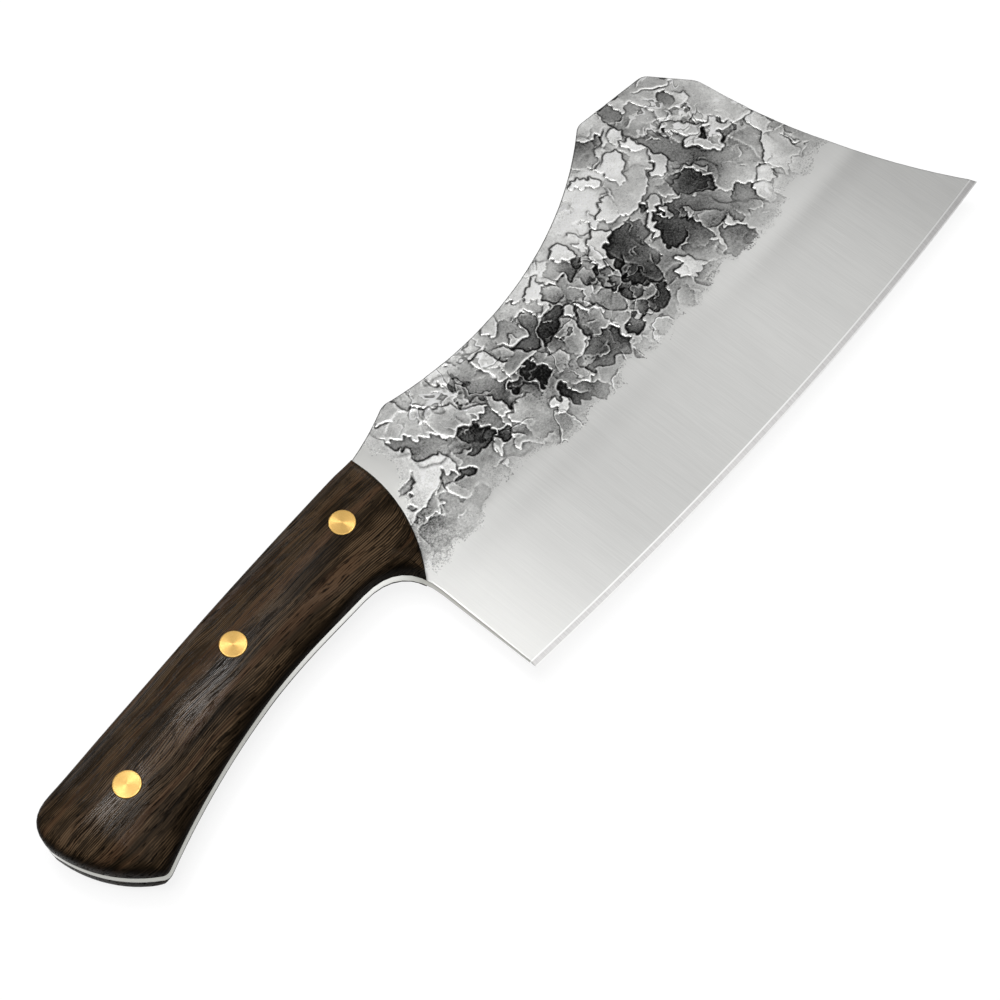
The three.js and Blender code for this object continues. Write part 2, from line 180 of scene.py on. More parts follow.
# Flakes of hammer scale, in painting order: shade from 0, black, to 1, bare steel; level in steps;
# outline as x and y in turn.
FLAKES = [
    # From the ricasso to the shoulder
    (0.84, 2.0, (6, 80, 22, 79, 22.3, 72, 23, 66.3, 24.6, 66.5, 25, 65, 24.4, 63.4, 23.6, 62, 26, 61,
     28.5, 59.2, 29.8, 57.3, 29.9, 54.5, 29.6, 52, 28, 50.5, 26.8, 52.5, 27, 54.7, 24.5, 53, 21, 51,
     14, 50.2, 3, 50)),
    (0.60, 1.0, (22.4, 72, 24, 70.2, 27, 69, 27.6, 67.4, 30, 65, 32, 64.2, 33.5, 62, 34.6, 60, 35.6, 58.7,
     33, 57.4, 31.6, 56, 31.4, 54, 32, 52, 29.6, 51.6, 29.9, 54.5, 29.8, 57.3, 28.5, 59.2, 26, 61,
     23.6, 62, 24.4, 63.4, 25, 65, 24.6, 66.5, 23, 66.3)),
    (0.78, 2.0, (24.5, 80, 32.7, 81, 32.7, 75.2, 35, 72.5, 38, 69, 40, 68, 42, 66, 43, 64, 43.6, 62.4,
     45, 61.5, 47, 60, 48.6, 58.3, 46, 57.4, 42, 57.6, 39, 58.8, 35.6, 58.7, 34.6, 60, 33.5, 62, 32, 64.2,
     30, 65, 27.6, 67.4, 27, 69, 24, 70.2, 22.6, 72, 22.2, 79)),
    (0.68, 1.0, (32.7, 81, 44.3, 79, 45, 70.2, 46.5, 68, 46, 66, 44.5, 65.5, 45, 63.5, 46.5, 62.3,
     48.7, 58.4, 47, 60, 45, 61.5, 43.6, 62.4, 43, 64, 42, 66, 40, 68, 38, 69, 35, 72.5, 32.7, 75.2)),
    (0.80, 1.8, (45, 79, 52, 77, 52.7, 73, 52, 70.5, 49.5, 70, 47, 70.6, 45, 71)),
    (0.48, 0.8, (45.2, 70.2, 50, 70, 50.2, 68, 52, 65.7, 54, 65, 55.5, 63.3, 56.6, 61.5, 58.4, 59.2,
     56.5, 57.9, 54.4, 56.4, 54, 54.5, 54.8, 53, 52.2, 53, 52.3, 56, 51.8, 58.6, 50.4, 60.2, 48, 62.2,
     46.2, 62.4, 47.6, 64.3, 47.4, 66.6, 46, 67)),
    (0.80, 2.0, (48.4, 57, 49, 59.4, 50.4, 60, 51.8, 58.6, 52.3, 56, 52.1, 53, 50, 52, 48.3, 52.8)),
    (0.68, 1.2, (43.4, 57.2, 48.4, 57, 48.3, 52.8, 46.8, 51.4, 45.2, 51.2, 44.3, 52.2, 44.3, 53.6,
     43.5, 55)),
    (0.35, 0.0, (37, 58.8, 39, 58.8, 42, 57.5, 43, 56.5, 43.5, 55, 44.3, 53.5, 44.3, 52, 45.2, 51.2,
     42, 50.2, 38, 50, 35.5, 51, 34.2, 52, 37, 54.5, 37, 57)),
    (0.55, 1.0, (31.5, 55.5, 32.5, 57, 35, 57.4, 37, 57, 37, 54.6, 35.5, 53.6, 33.5, 53.6, 32, 54.2)),
    (0.37, 0.0, (42.5, 50.5, 48.2, 51, 48, 49, 46, 47, 44.5, 47.5, 43, 49)),
    (0.41, 0.0, (25.5, 50.5, 32, 50.6, 32, 49, 33.2, 47.5, 30, 48, 27.5, 48.3)),
    (0.7, 0.2, (12.2, 57.3, 13.5, 58.5, 17, 59, 20.5, 59, 22, 59.6, 20, 58.3, 18.3, 56.5, 16, 56,
     14.5, 56.6, 13.3, 57.4)),
    (0.75, 0.3, (11.8, 51.5, 12, 53.5, 13, 54.3, 13.6, 53.8, 13.6, 51.2)),
    (0.65, 1.3, (22.5, 45, 23.4, 50, 25.2, 51, 26.2, 47.4, 25.6, 44)),
    (0.73, 1.4, (37.5, 38, 38, 42.4, 39.8, 43, 40.5, 44.5, 42, 43.9, 43.3, 43.8, 46.5, 43, 49, 40.5,
     49, 38)),
    # Below the rear of the scoop
    (0.89, 2.4, (55.3, 70.6, 59, 71.2, 60.4, 69.8, 61.2, 68.5, 60.8, 66, 61.3, 64.2, 62.5, 63.4, 66, 63.4,
     68, 62.4, 70, 60.6, 71.4, 59.2, 68, 58.4, 65, 59.4, 61.5, 58, 58.5, 59.4, 57.2, 62.4, 56.2, 64.8,
     55.6, 67)),
    (0.71, 2.1, (61, 63.4, 66, 63.3, 68, 62.4, 70, 60.6, 71.4, 59.2, 68, 58.4, 65, 59.4, 61.5, 58.2,
     59, 59.6, 59.5, 61.8)),
    (0.70, 1.4, (61.2, 68.4, 63.5, 68, 65.2, 66.5, 66, 64, 65.8, 63.5, 62, 63.5, 60.9, 64.6, 60.7, 66.4)),
    (0.87, 2.0, (64.8, 77, 65.5, 72, 67, 70.5, 69, 71.5, 70.2, 74, 70.6, 77)),
    (0.66, 1.2, (64.5, 70.5, 67, 70.4, 69, 71.4, 71, 73.5, 74, 70.2, 73, 68.5, 73, 65.5, 72.2, 64.2,
     69, 64.3, 66.6, 66, 65.3, 68)),
    (0.39, 0.0, (65.6, 67, 67, 65.2, 69.3, 64.2, 72.4, 64.1, 73.3, 66, 74, 68.6, 75.5, 69.6, 78.4, 67.6,
     79, 65.8, 77, 64.2, 75, 62.6, 73.5, 61, 71.5, 59, 70, 60.6, 67.6, 62.5, 66, 64)),
    (0.74, 1.6, (77.8, 70.6, 78.6, 72, 82, 72.4, 82.3, 68.5, 81.8, 66.6, 79.6, 66, 78.4, 68)),
    (0.92, 2.7, (80, 72.3, 82.5, 72.5, 84, 73.8, 86.5, 75, 88, 75.7, 88.6, 74.8, 87, 72.6, 88, 71.2,
     86, 70.3, 84.6, 69.6, 84, 67, 84, 65.3, 80, 65, 82, 66.6, 82.4, 68.6, 81.6, 71)),
    (0.58, 1.0, (84.2, 69, 85.2, 70, 87.5, 70, 89.3, 68.5, 89.6, 66.5, 88.5, 64.8, 86.8, 64, 84.6, 65,
     84, 67)),
    (0.24, 0.0, (72.5, 58.5, 74.5, 61.5, 76.5, 63.5, 78, 63.9, 80, 64.8, 84.5, 65, 86.4, 63, 84, 61.5,
     81, 60, 80, 58.3, 77, 58, 74, 57.5)),
    (0.27, 0.0, (61.5, 57, 63, 58.2, 64.7, 59.2, 66.8, 59, 67, 57.5, 66.8, 55.8, 68, 54.5, 69, 53.8,
     68.3, 52.2, 66.5, 52, 65.5, 50, 63.5, 49.2, 62.7, 51.5, 63.2, 53.5, 62.5, 55)),
    (0.29, 0.0, (56, 56.5, 57.5, 58, 60.5, 57.8, 62, 55.5, 62, 53.2, 60.5, 54.5, 58.5, 55, 56.5, 54.8)),
    (0.63, 1.0, (54, 54, 54.2, 56, 55.4, 57.6, 56.4, 56.6, 56.6, 54.8, 58, 53.2, 56.5, 52.8, 55, 53)),
    (0.57, 0.8, (58, 53.4, 58.5, 55, 60.5, 54.6, 62, 53.2, 62.7, 51.4, 62, 49, 60, 48.7, 59.2, 50,
     58.8, 51.6)),
    (0.66, 1.4, (49.6, 49.4, 50.5, 51.8, 53, 52.7, 56.5, 52.8, 58.5, 51.6, 59, 50, 60.2, 48.6, 60.6, 46,
     60, 41, 59.4, 37, 55, 36.5, 50, 38.5, 50.2, 44.5, 50.8, 46.4)),
    (0.29, 0.0, (64.5, 47.5, 65.5, 48.2, 67, 48, 67.3, 46.5, 67, 44.5, 69, 43.5, 71.5, 43.2, 73, 41.5,
     74, 39, 75.3, 37.3, 74, 36.3, 71.5, 36, 70, 34.5, 69.8, 37.5, 68.5, 38.5, 66, 40, 63.5, 40.7,
     64.5, 42.5, 65, 44.5, 64, 46)),
    (0.47, 0.5, (67, 44.3, 69.5, 43.3, 71.5, 42.5, 72.4, 40.5, 71, 39.5, 69, 40.6, 67.3, 42)),
    (0.90, 2.4, (60.5, 46, 62, 46.2, 62.3, 43.6, 64, 45, 64.6, 44, 64, 42.3, 63, 40.8, 60.8, 40.6,
     60.2, 42)),
    (0.71, 1.5, (68, 56.5, 72, 56.6, 73.4, 55, 75, 53.6, 75.4, 51, 73, 50, 71, 51.3, 69, 51.3, 68.5, 53)),
    (0.57, 1.0, (72, 57.5, 74, 57.7, 77, 57.8, 78, 56.5, 77, 54.5, 76, 53.2, 74.5, 54, 72.8, 55.5)),
    (0.71, 1.6, (78, 57, 79.5, 59, 81, 60, 83.5, 60.2, 84, 57, 83.2, 53, 82, 51, 79, 50, 76, 50.2,
     75.3, 52.5, 77, 54)),
    (0.40, 0.0, (73, 47.5, 75, 48.6, 78, 50, 84, 50.2, 88, 49.8, 90.2, 48.6, 90, 43, 88.6, 42, 87.5, 39.4,
     85.2, 40, 83, 41.6, 80, 40, 77.5, 43, 75.4, 43.3, 75.2, 44.8)),
    (0.67, 1.2, (68.6, 49.6, 71.5, 50.2, 74, 49.6, 73, 47.4, 75, 45, 75.2, 43.4, 73, 41.8, 72, 43.2,
     69.2, 43.8, 68, 45.6)),
    # Below the middle of the scoop
    (0.92, 2.5, (83.5, 61, 86.4, 62.4, 87.6, 60.8, 85, 58.8)),
    (0.63, 1.2, (85.4, 57.6, 87.6, 59.4, 90, 56.6, 92, 53.6, 90.5, 51.4, 92, 49.4, 88, 49.9, 85, 50.2,
     85.2, 54)),
    (0.89, 2.3, (87.4, 61, 88.6, 60.4, 90.6, 58, 92.6, 55.4, 93.2, 53.8, 92, 53.4, 90.6, 55.6, 88.6, 58)),
    (0.42, 0.3, (84, 56.6, 85.4, 56.4, 85.1, 54, 84.9, 50.3, 82.4, 50.2, 83.5, 52.6)),
    (0.66, 1.2, (89.6, 66.5, 90.5, 70.5, 90.2, 73, 94, 75.4, 96, 73.5, 94.4, 69, 93.5, 66.2, 95.4, 65,
     95.3, 62, 96, 60.2, 93, 58.4, 90.4, 58.4, 88.4, 60.6, 87.2, 62.6, 88.6, 64.6)),
    (0.44, 0.4, (94.5, 74, 96.3, 72.2, 98, 70.7, 97.2, 69, 97, 66.6, 95, 66.2, 93.5, 66.3, 94.3, 69,
     93.6, 71.4)),
    (0.93, 2.7, (94.5, 76, 96, 77, 98.5, 77.2, 100.8, 76.2, 100.8, 74.5, 101.2, 72, 100.7, 70.8,
     98.3, 70.7, 97, 72, 96, 74, 95.3, 75)),
    (0.34, 0.0, (97, 67, 97.2, 69.2, 98.4, 70.4, 100.6, 70.4, 101.6, 68.6, 99.8, 67.2)),
    (0.55, 0.9, (95.3, 62.4, 95.6, 65, 97.6, 66.4, 99.6, 66, 99.6, 64, 98.4, 62.4, 98.2, 60, 96.4, 60.2)),
    (0.43, 0.2, (98.3, 60, 98.5, 62.5, 100, 64.2, 102, 64.6, 103, 62, 105, 60.2, 103.6, 57, 103, 55,
     101, 55.4, 99, 56, 97.4, 58)),
    (0.30, 0.0, (107.4, 64.4, 107.9, 67, 109, 67.4, 110.4, 65.4, 111.3, 67.3, 114, 68, 117.5, 67.6,
     120, 67.2, 121, 65.2, 122, 63.5, 121.8, 61.5, 120.5, 59.6, 118, 59.4, 117.5, 57, 117.2, 55, 115, 53,
     113, 52, 112, 49.5, 111, 46.5, 109.5, 48.5, 107, 49, 105.5, 50, 104.5, 52.5, 103, 55, 104.4, 58,
     106, 60, 107, 61.6, 107, 63.4)),
    (0.85, 2.5, (102.2, 67.5, 104.5, 69.3, 106.5, 70.9, 108.5, 71, 110, 72.6, 112, 70.8, 113.6, 67.6,
     111.3, 67.3, 110.6, 65.2, 109, 67.4, 107.8, 67, 107.4, 64.4, 105.5, 63.7, 104, 62.8, 103.3, 61.4,
     102.3, 63, 102, 65)),
    (0.32, 0.2, (96.5, 49, 100.5, 49.5, 102, 47.5, 104, 46, 105.5, 45.5, 108, 48, 109.5, 48.3, 111, 46.3,
     109, 45, 108.5, 42.5, 105, 42, 102, 41.3, 100, 43.5, 98.3, 46)),
    (0.37, 0.3, (98.8, 55, 101, 55.2, 103, 54.8, 104.5, 52.5, 105.6, 50, 104, 48.6, 101, 49.8,
     99.4, 51.2)),
    (0.55, 0.9, (93.2, 58, 96.4, 60, 98.2, 58, 99, 55.8, 99.2, 51.2, 96.8, 49.2, 93.4, 50.6, 93, 54)),
    (0.33, 0.0, (92.5, 45.7, 94.5, 46, 96.3, 48.3, 98, 46, 99.5, 43.8, 97.5, 43.5, 96, 42, 93, 41.5,
     90.5, 42.3, 92, 44.5)),
    (0.67, 1.2, (90.4, 43, 90.6, 48.6, 93.5, 49.4, 96.2, 48.6, 94.4, 46.2, 92.4, 45.8, 91.4, 44)),
    (0.35, 0.0, (85, 38, 87, 39.4, 88.6, 39.2, 88.6, 36.6, 88, 34.5)),
    # Towards the crest
    (0.77, 1.8, (121.8, 76, 122.5, 78, 125.5, 80.2, 127, 79, 128, 76, 130, 75.6, 131.5, 77, 133, 78,
     136, 77, 136, 73, 134, 70, 131, 69.4, 127, 67.8, 121, 67, 119.8, 69, 120, 71.5, 121.2, 73)),
    (0.90, 2.5, (114.6, 73, 115, 74.3, 117, 76, 119, 77.2, 121.6, 77.6, 121.8, 76, 121.2, 73, 120, 71.5,
     119.8, 69, 118.5, 69.5, 116, 70, 114.7, 71.3)),
    (0.88, 2.3, (118, 88, 118.3, 85.5, 119.5, 83.5, 122, 82, 124, 80.3, 125.3, 82, 125, 84, 123.5, 84.6,
     122, 86, 121, 87.6)),
    (0.85, 2.4, (127, 82, 127.2, 78, 128, 76, 130, 75.6, 131.5, 77, 132, 78.3, 134.8, 79.3, 135.5, 80.8,
     136, 84.5, 135, 86, 132.5, 86, 128.5, 84.5)),
    (0.92, 2.6, (138, 84.4, 139, 85.6, 141.8, 85.4, 141.4, 83, 142, 81.5, 143.3, 79.4, 143, 78.6,
     140, 78.7, 139.5, 79.8, 139, 82)),
    (0.87, 2.5, (136.5, 71.8, 137, 73, 139, 74, 140.5, 75.5, 142, 77.5, 143, 78.2, 143.2, 75, 143.9, 72,
     143.5, 71, 141.5, 70.8, 141, 69.5, 139, 68.8, 138, 69.5, 137.3, 71)),
    (0.48, 0.6, (122, 90.5, 126, 94, 130, 96.5, 132, 95.5, 133, 93.5, 137, 93, 138, 91.6, 137, 90.3,
     133, 89.5, 130, 87, 126, 86, 124, 88)),
    (0.88, 2.2, (137, 87, 137.3, 90, 139, 90.3, 141.5, 90.3, 143, 89, 142, 86.5, 139.5, 86.3)),
    (0.52, 0.6, (143, 98, 147, 98, 147.5, 93, 149, 92, 151.5, 93.5, 152.5, 92, 153.3, 89, 153.3, 84,
     153, 81, 150, 79, 150.3, 75, 150.5, 72, 152, 69, 153.5, 66, 155, 62.5, 157, 62, 160, 63, 163, 62.5,
     168, 61, 168, 58, 166, 56.5, 164, 55, 161.5, 53, 160, 51, 158, 53.5, 155, 55.5, 153.5, 58.5,
     150, 60.8, 148, 62.5, 145.5, 65.5, 144, 68, 143.8, 72, 143, 77, 142.5, 81, 142, 86, 142.5, 90,
     141.5, 93)),
    (0.76, 1.8, (152, 93.6, 150, 98, 163, 98, 172, 85, 174, 70, 173, 64, 169, 64, 165.5, 64.6,
     164.5, 71.5, 160, 72, 161.7, 79.5, 160.5, 79.5, 157, 83, 156.5, 81.5, 153.6, 81.4, 153.7, 86,
     153.2, 90)),
    (0.51, 1.0, (158, 87.6, 160, 89, 162.6, 87, 162.2, 85, 160.6, 82.4, 158.4, 83.4, 157.4, 85.4)),
    (0.86, 2.2, (162.3, 85, 163.5, 85.8, 165, 83, 164.5, 81.5, 162.5, 80, 160.3, 79.7, 160.8, 82)),
    (0.56, 0.8, (153.2, 80.4, 155, 80.4, 157, 81.2, 158.2, 79.8, 160.5, 78.6, 161, 77, 159, 75.2,
     157.3, 76, 155.3, 78.5)),
    (0.93, 2.7, (149.8, 78.8, 152.5, 80.8, 154, 79.5, 156, 77, 158, 74.5, 160, 72, 158, 71.5, 154, 71.7,
     153.3, 73, 152, 75.5, 151, 77.5)),
    (0.93, 2.7, (150.2, 72, 150.4, 70, 152, 68.5, 153.5, 68, 153.8, 66, 154.5, 63.5, 156, 61.8,
     157.5, 62.8, 159, 63.5, 158, 64.6, 159.3, 65.4, 160, 67, 163, 66.6, 164.5, 65.2, 165.6, 65,
     164.5, 68, 163.5, 69, 164.5, 71.4, 160.5, 71.8, 157, 71.4, 152.6, 71.6)),
    (0.26, 0.3, (155, 70.7, 160, 71, 159.5, 69.8, 157, 69, 155.8, 68)),
    (0.44, 0.8, (158.4, 64.4, 159.4, 65.4, 160.2, 67, 163, 66.5, 164.6, 64.8, 162, 63.6)),
    # Between the great pool and the front end
    (0.36, 0.2, (121.4, 57, 123, 60, 124.4, 62, 126.8, 63.6, 131, 64, 132.4, 61.6, 135.5, 61.8,
     137.2, 60.5, 138.5, 58.5, 140, 57.2, 142, 56.7, 144, 54.5, 145.6, 52, 146, 50.2, 143, 49, 141.6, 47,
     141.4, 45.5, 142.6, 43.2, 139.4, 43, 139.6, 47, 139.4, 49.2, 138, 51.4, 135.6, 52.8, 134, 58.4,
     130.4, 54.8, 128.4, 53.4, 127.4, 51.4, 124.4, 50, 122, 50.4, 120, 52, 119.8, 55)),
    (0.42, 0.5, (124.3, 49.3, 126, 50.3, 127.5, 51.5, 128.5, 53.5, 130.5, 54.8, 132, 54, 132, 48.5,
     131.5, 45, 129, 45.2, 127, 45.4, 126, 46.6)),
    (0.52, 0.9, (132, 48.5, 132.2, 52.5, 134, 53, 136, 52.5, 138.3, 51, 139.4, 49, 139.4, 46.7, 135, 46.7,
     133, 47)),
    (0.86, 2.0, (135.5, 46.5, 139.3, 46.6, 139.1, 43.6, 138, 42.6)),
    (0.28, 0.0, (138.5, 67.8, 141, 67, 144, 66, 145.3, 64.5, 145.8, 62, 146.8, 60, 147, 58, 145.3, 57,
     144.7, 55, 143.8, 54.6, 142, 56.8, 140, 57.3, 138.7, 58.6, 137, 61, 134.6, 62.6, 136, 64, 136.5, 67,
     137.5, 68.4)),
    (0.32, 0.0, (127.3, 40.8, 130.5, 41.2, 131.5, 43, 133, 45.6, 135.5, 46, 138, 43, 139.3, 42, 140, 40,
     140, 36.5, 138, 35, 134, 35.5, 129, 37, 128, 39)),
    (0.59, 1.0, (121.8, 47, 122.4, 50, 124.3, 49.3, 126, 46.6, 127, 45.4, 129, 45.2, 130.4, 43, 130, 41.3,
     127.3, 40.8, 125.4, 39.4, 123, 40.5, 122, 42.5)),
    (0.91, 2.6, (114.3, 44, 115, 46, 116.5, 46.9, 118.2, 46.7, 117.5, 48.5, 118, 50, 119, 50.5, 120, 48.5,
     121.5, 47, 122, 45.5, 122, 42.5, 123, 40.5, 120.5, 41.5, 118.5, 41, 117, 42.5, 115, 43.3)),
    (0.90, 2.3, (120.3, 57.2, 120.8, 59.4, 122.4, 62.8, 124.5, 64.2, 127, 66, 130, 67.2, 131.5, 66.6,
     131.5, 64.6, 127.5, 63.7, 125.5, 63, 123.5, 61, 122, 58, 121.3, 57)),
    (0.32, 0.2, (124, 65, 124.6, 67.4, 127, 67.4, 126, 65.2)),
    (0.62, 1.1, (126.3, 63.3, 126.5, 61, 128, 58.8, 129.5, 59, 130.7, 60.8, 131, 62, 129.5, 63.8,
     128.5, 61, 127.6, 61)),
    (0.59, 1.2, (132.4, 68.2, 133, 66, 132.5, 65, 133.5, 63.3, 135, 63.5, 136.2, 65, 136, 68)),
    (0.49, 0.5, (117, 42.4, 118.5, 41, 120.5, 41.5, 123, 40.4, 125.4, 39.3, 125.4, 36, 120, 34.6,
     116.4, 35.5, 116, 39)),
    (0.65, 1.1, (106, 38.6, 108.4, 41, 113.4, 42, 113.8, 39, 112, 37.5, 110.8, 36, 107.5, 36)),
    # Front end
    (0.62, 1.2, (148, 62.5, 150.5, 60.8, 153.5, 58, 155, 55.3, 158, 53.3, 160, 51, 157, 49.8, 154, 48.6,
     152, 50, 149.7, 52.4, 146.4, 50.2, 144.6, 54.6, 145.4, 57, 147, 58)),
    (0.45, 0.7, (146.4, 50.2, 149.7, 52.4, 153.7, 48, 150.6, 47.2, 150, 41, 146, 42, 142.6, 43.2,
     141.4, 45.5, 142, 48.6)),
    (0.78, 2.0, (150, 41, 150.5, 47, 151.5, 48, 153.5, 48, 156, 45.5, 155, 43.5, 154, 41, 152, 40,
     150.7, 39.8)),
    (0.80, 1.8, (154, 41, 155.4, 43.6, 157.5, 44.2, 161.4, 43.8, 161, 38, 158, 36.5, 154, 37.5)),
    (0.93, 2.6, (154.5, 48.5, 157, 49.8, 159.5, 50.3, 161, 49, 161.5, 47, 160, 47.8, 159, 47, 158.5, 45,
     157.5, 44.2, 156, 45.5, 154.5, 47.3)),
    (0.58, 1.0, (158.8, 44, 159, 47, 160, 47.8, 161, 47.2, 161.5, 44)),
    (0.84, 2.3, (168.3, 63, 170, 63.8, 173, 63.5, 174, 60, 174, 53, 171.5, 51, 171, 48, 171, 45.5,
     167.5, 45.2, 165, 44, 162, 43, 161.7, 47, 161, 50, 163, 52.5, 165, 54.5, 166, 56, 168.5, 57,
     168, 59)),
    (0.73, 1.4, (161.8, 42.2, 163.5, 43.4, 165.5, 44, 167.3, 45, 169, 43.6, 172, 43.2, 171.6, 40.6,
     168, 38.4, 166.4, 40, 164.4, 39.5, 162.8, 40.8)),
    (0.56, 0.7, (162.7, 40.8, 164.4, 39.5, 166.4, 40, 168, 38.4, 170.4, 37.8, 170, 34.5, 167, 34.5,
     165, 36.5, 163.3, 38.5)),
    (0.85, 2.1, (171, 38, 171.3, 40, 172.5, 40.3, 174, 40, 175.5, 39.2, 177, 39, 176.5, 37, 174, 36,
     172, 36.3)),
]

# Cracks at the rims of lifted scale: x and y in turn
CRACKS = [
    (24.5, 77, 25.5, 75.3, 27, 75, 28, 73.5),
    (27, 54.8, 25, 53, 23.5, 51.5, 23, 49.5, 22.2, 48.6),
    (44.3, 77, 45, 70.2),
    (49.6, 75.6, 51, 74.2),
    (74, 69.8, 77, 69.6),
    (76.5, 75.2, 78, 74.8, 79.5, 73.2),
    (87, 72, 88.5, 70, 89.5, 68),
    (90.5, 70.5, 91, 69, 94.2, 68.7),
    (126.3, 87, 127, 85.7, 129, 86.3, 131, 87),
    (133, 89, 137, 91, 140, 92.5),
    (155, 94.7, 157, 93, 158.5, 91.5, 160.5, 90, 163, 89, 164.5, 88, 166, 88.5),
    (78.2, 35.2, 79, 34, 80.5, 32.8, 83.5, 31.8),
    (92.5, 31, 95, 32.5, 96.5, 34, 98, 35, 100.5, 35.2, 101, 38),
    (104.3, 33.5, 104.8, 35.8, 106, 35.8, 108, 33, 109.5, 32),
    (172.5, 45, 175, 44.5),
    (171.3, 52, 171.2, 48, 172.5, 46),
]

# Broad areas of darker or lighter scale: centre, radius, change of shade
CLOUDS = [
    (12, 48, 7, -0.18),  # by the front of the handle
    (20, 40, 6, 0.15),
    (36, 72, 11, 0.1),  # along the shoulder
    (40, 59, 9, -0.2),  # dark belt along the middle
    (63, 54, 10, -0.2),
    (83, 58, 8, -0.14),
    (112, 49, 7, -0.1),
    (151, 67, 7, -0.2),
    (88, 75, 6, 0.3),  # along the scoop of the spine
    (112, 80, 8, 0.25),
    (130, 85, 8, 0.17),
    (149, 85, 8, 0.3),  # under the crest
    (131, 93, 4, -0.14),
    (161, 83, 9, -0.08),
    (96, 44, 6, 0.13),  # along the lower border
    (131, 38, 5, 0.14),
    (152, 47, 12, 0.15),
    (135, 62, 5, 0.1),
]


# Forged face


def eased(t):
    return t * t * (3 - 2 * t)


def smoothstep(low, high, value):
    return eased(np.clip((value - low) / (high - low), 0, 1))


def interpolated(table, u, v, ease=False):
    """The table's values between its samples, at columns u and rows v."""
    i = np.floor(u).astype(int)
    j = np.floor(v).astype(int)
    s = u - i
    t = v - j
    if ease:
        s = eased(s)
        t = eased(t)
    low = table[j, i] * (1 - s) + table[j, i + 1] * s
    high = table[j + 1, i] * (1 - s) + table[j + 1, i + 1] * s
    return low * (1 - t) + high * t


def lattice_noise(rng, x, y, size):
    """Smooth noise from -1 to 1 with features of that size."""
    u = (x - FACE_X[0]) / size + NOISE_MARGIN
    v = (y - FACE_Y[0]) / size + NOISE_MARGIN
    table = rng.uniform(-1, 1, (int(v.max()) + 3, int(u.max()) + 3))
    return interpolated(table, u, v, ease=True)


def cut_corners(points):
    """The closed outline with its corners cut."""
    p = np.reshape(points, (-1, 2)).astype(float)
    q = np.roll(p, -1, 0)
    keep = 1 - CORNER_CUT
    return np.stack([keep * p + CORNER_CUT * q, CORNER_CUT * p + keep * q], 1).reshape(-1, 2)


def inside(outline, x, y):
    """Whether each point lies in the closed outline."""
    hit = np.zeros(x.shape, bool)
    for (ax, ay), (bx, by) in zip(outline, np.roll(outline, -1, 0)):
        if ay != by:
            hit ^= ((ay > y) != (by > y)) & (x < (bx - ax) * (y - ay) / (by - ay) + ax)
    return hit


def blurred(field, reach):
    """The field averaged three times over squares that reach so many samples each way."""
    width = 2 * reach + 1
    for axis in (0, 1) * 3:
        pad = [(0, 0), (0, 0)]
        pad[axis] = (reach + 1, reach)
        total = np.cumsum(np.pad(field, pad, mode="edge"), axis)
        size = field.shape[axis]
        upper = np.take(total, range(width, width + size), axis)
        field = (upper - np.take(total, range(size), axis)) / width
    return field


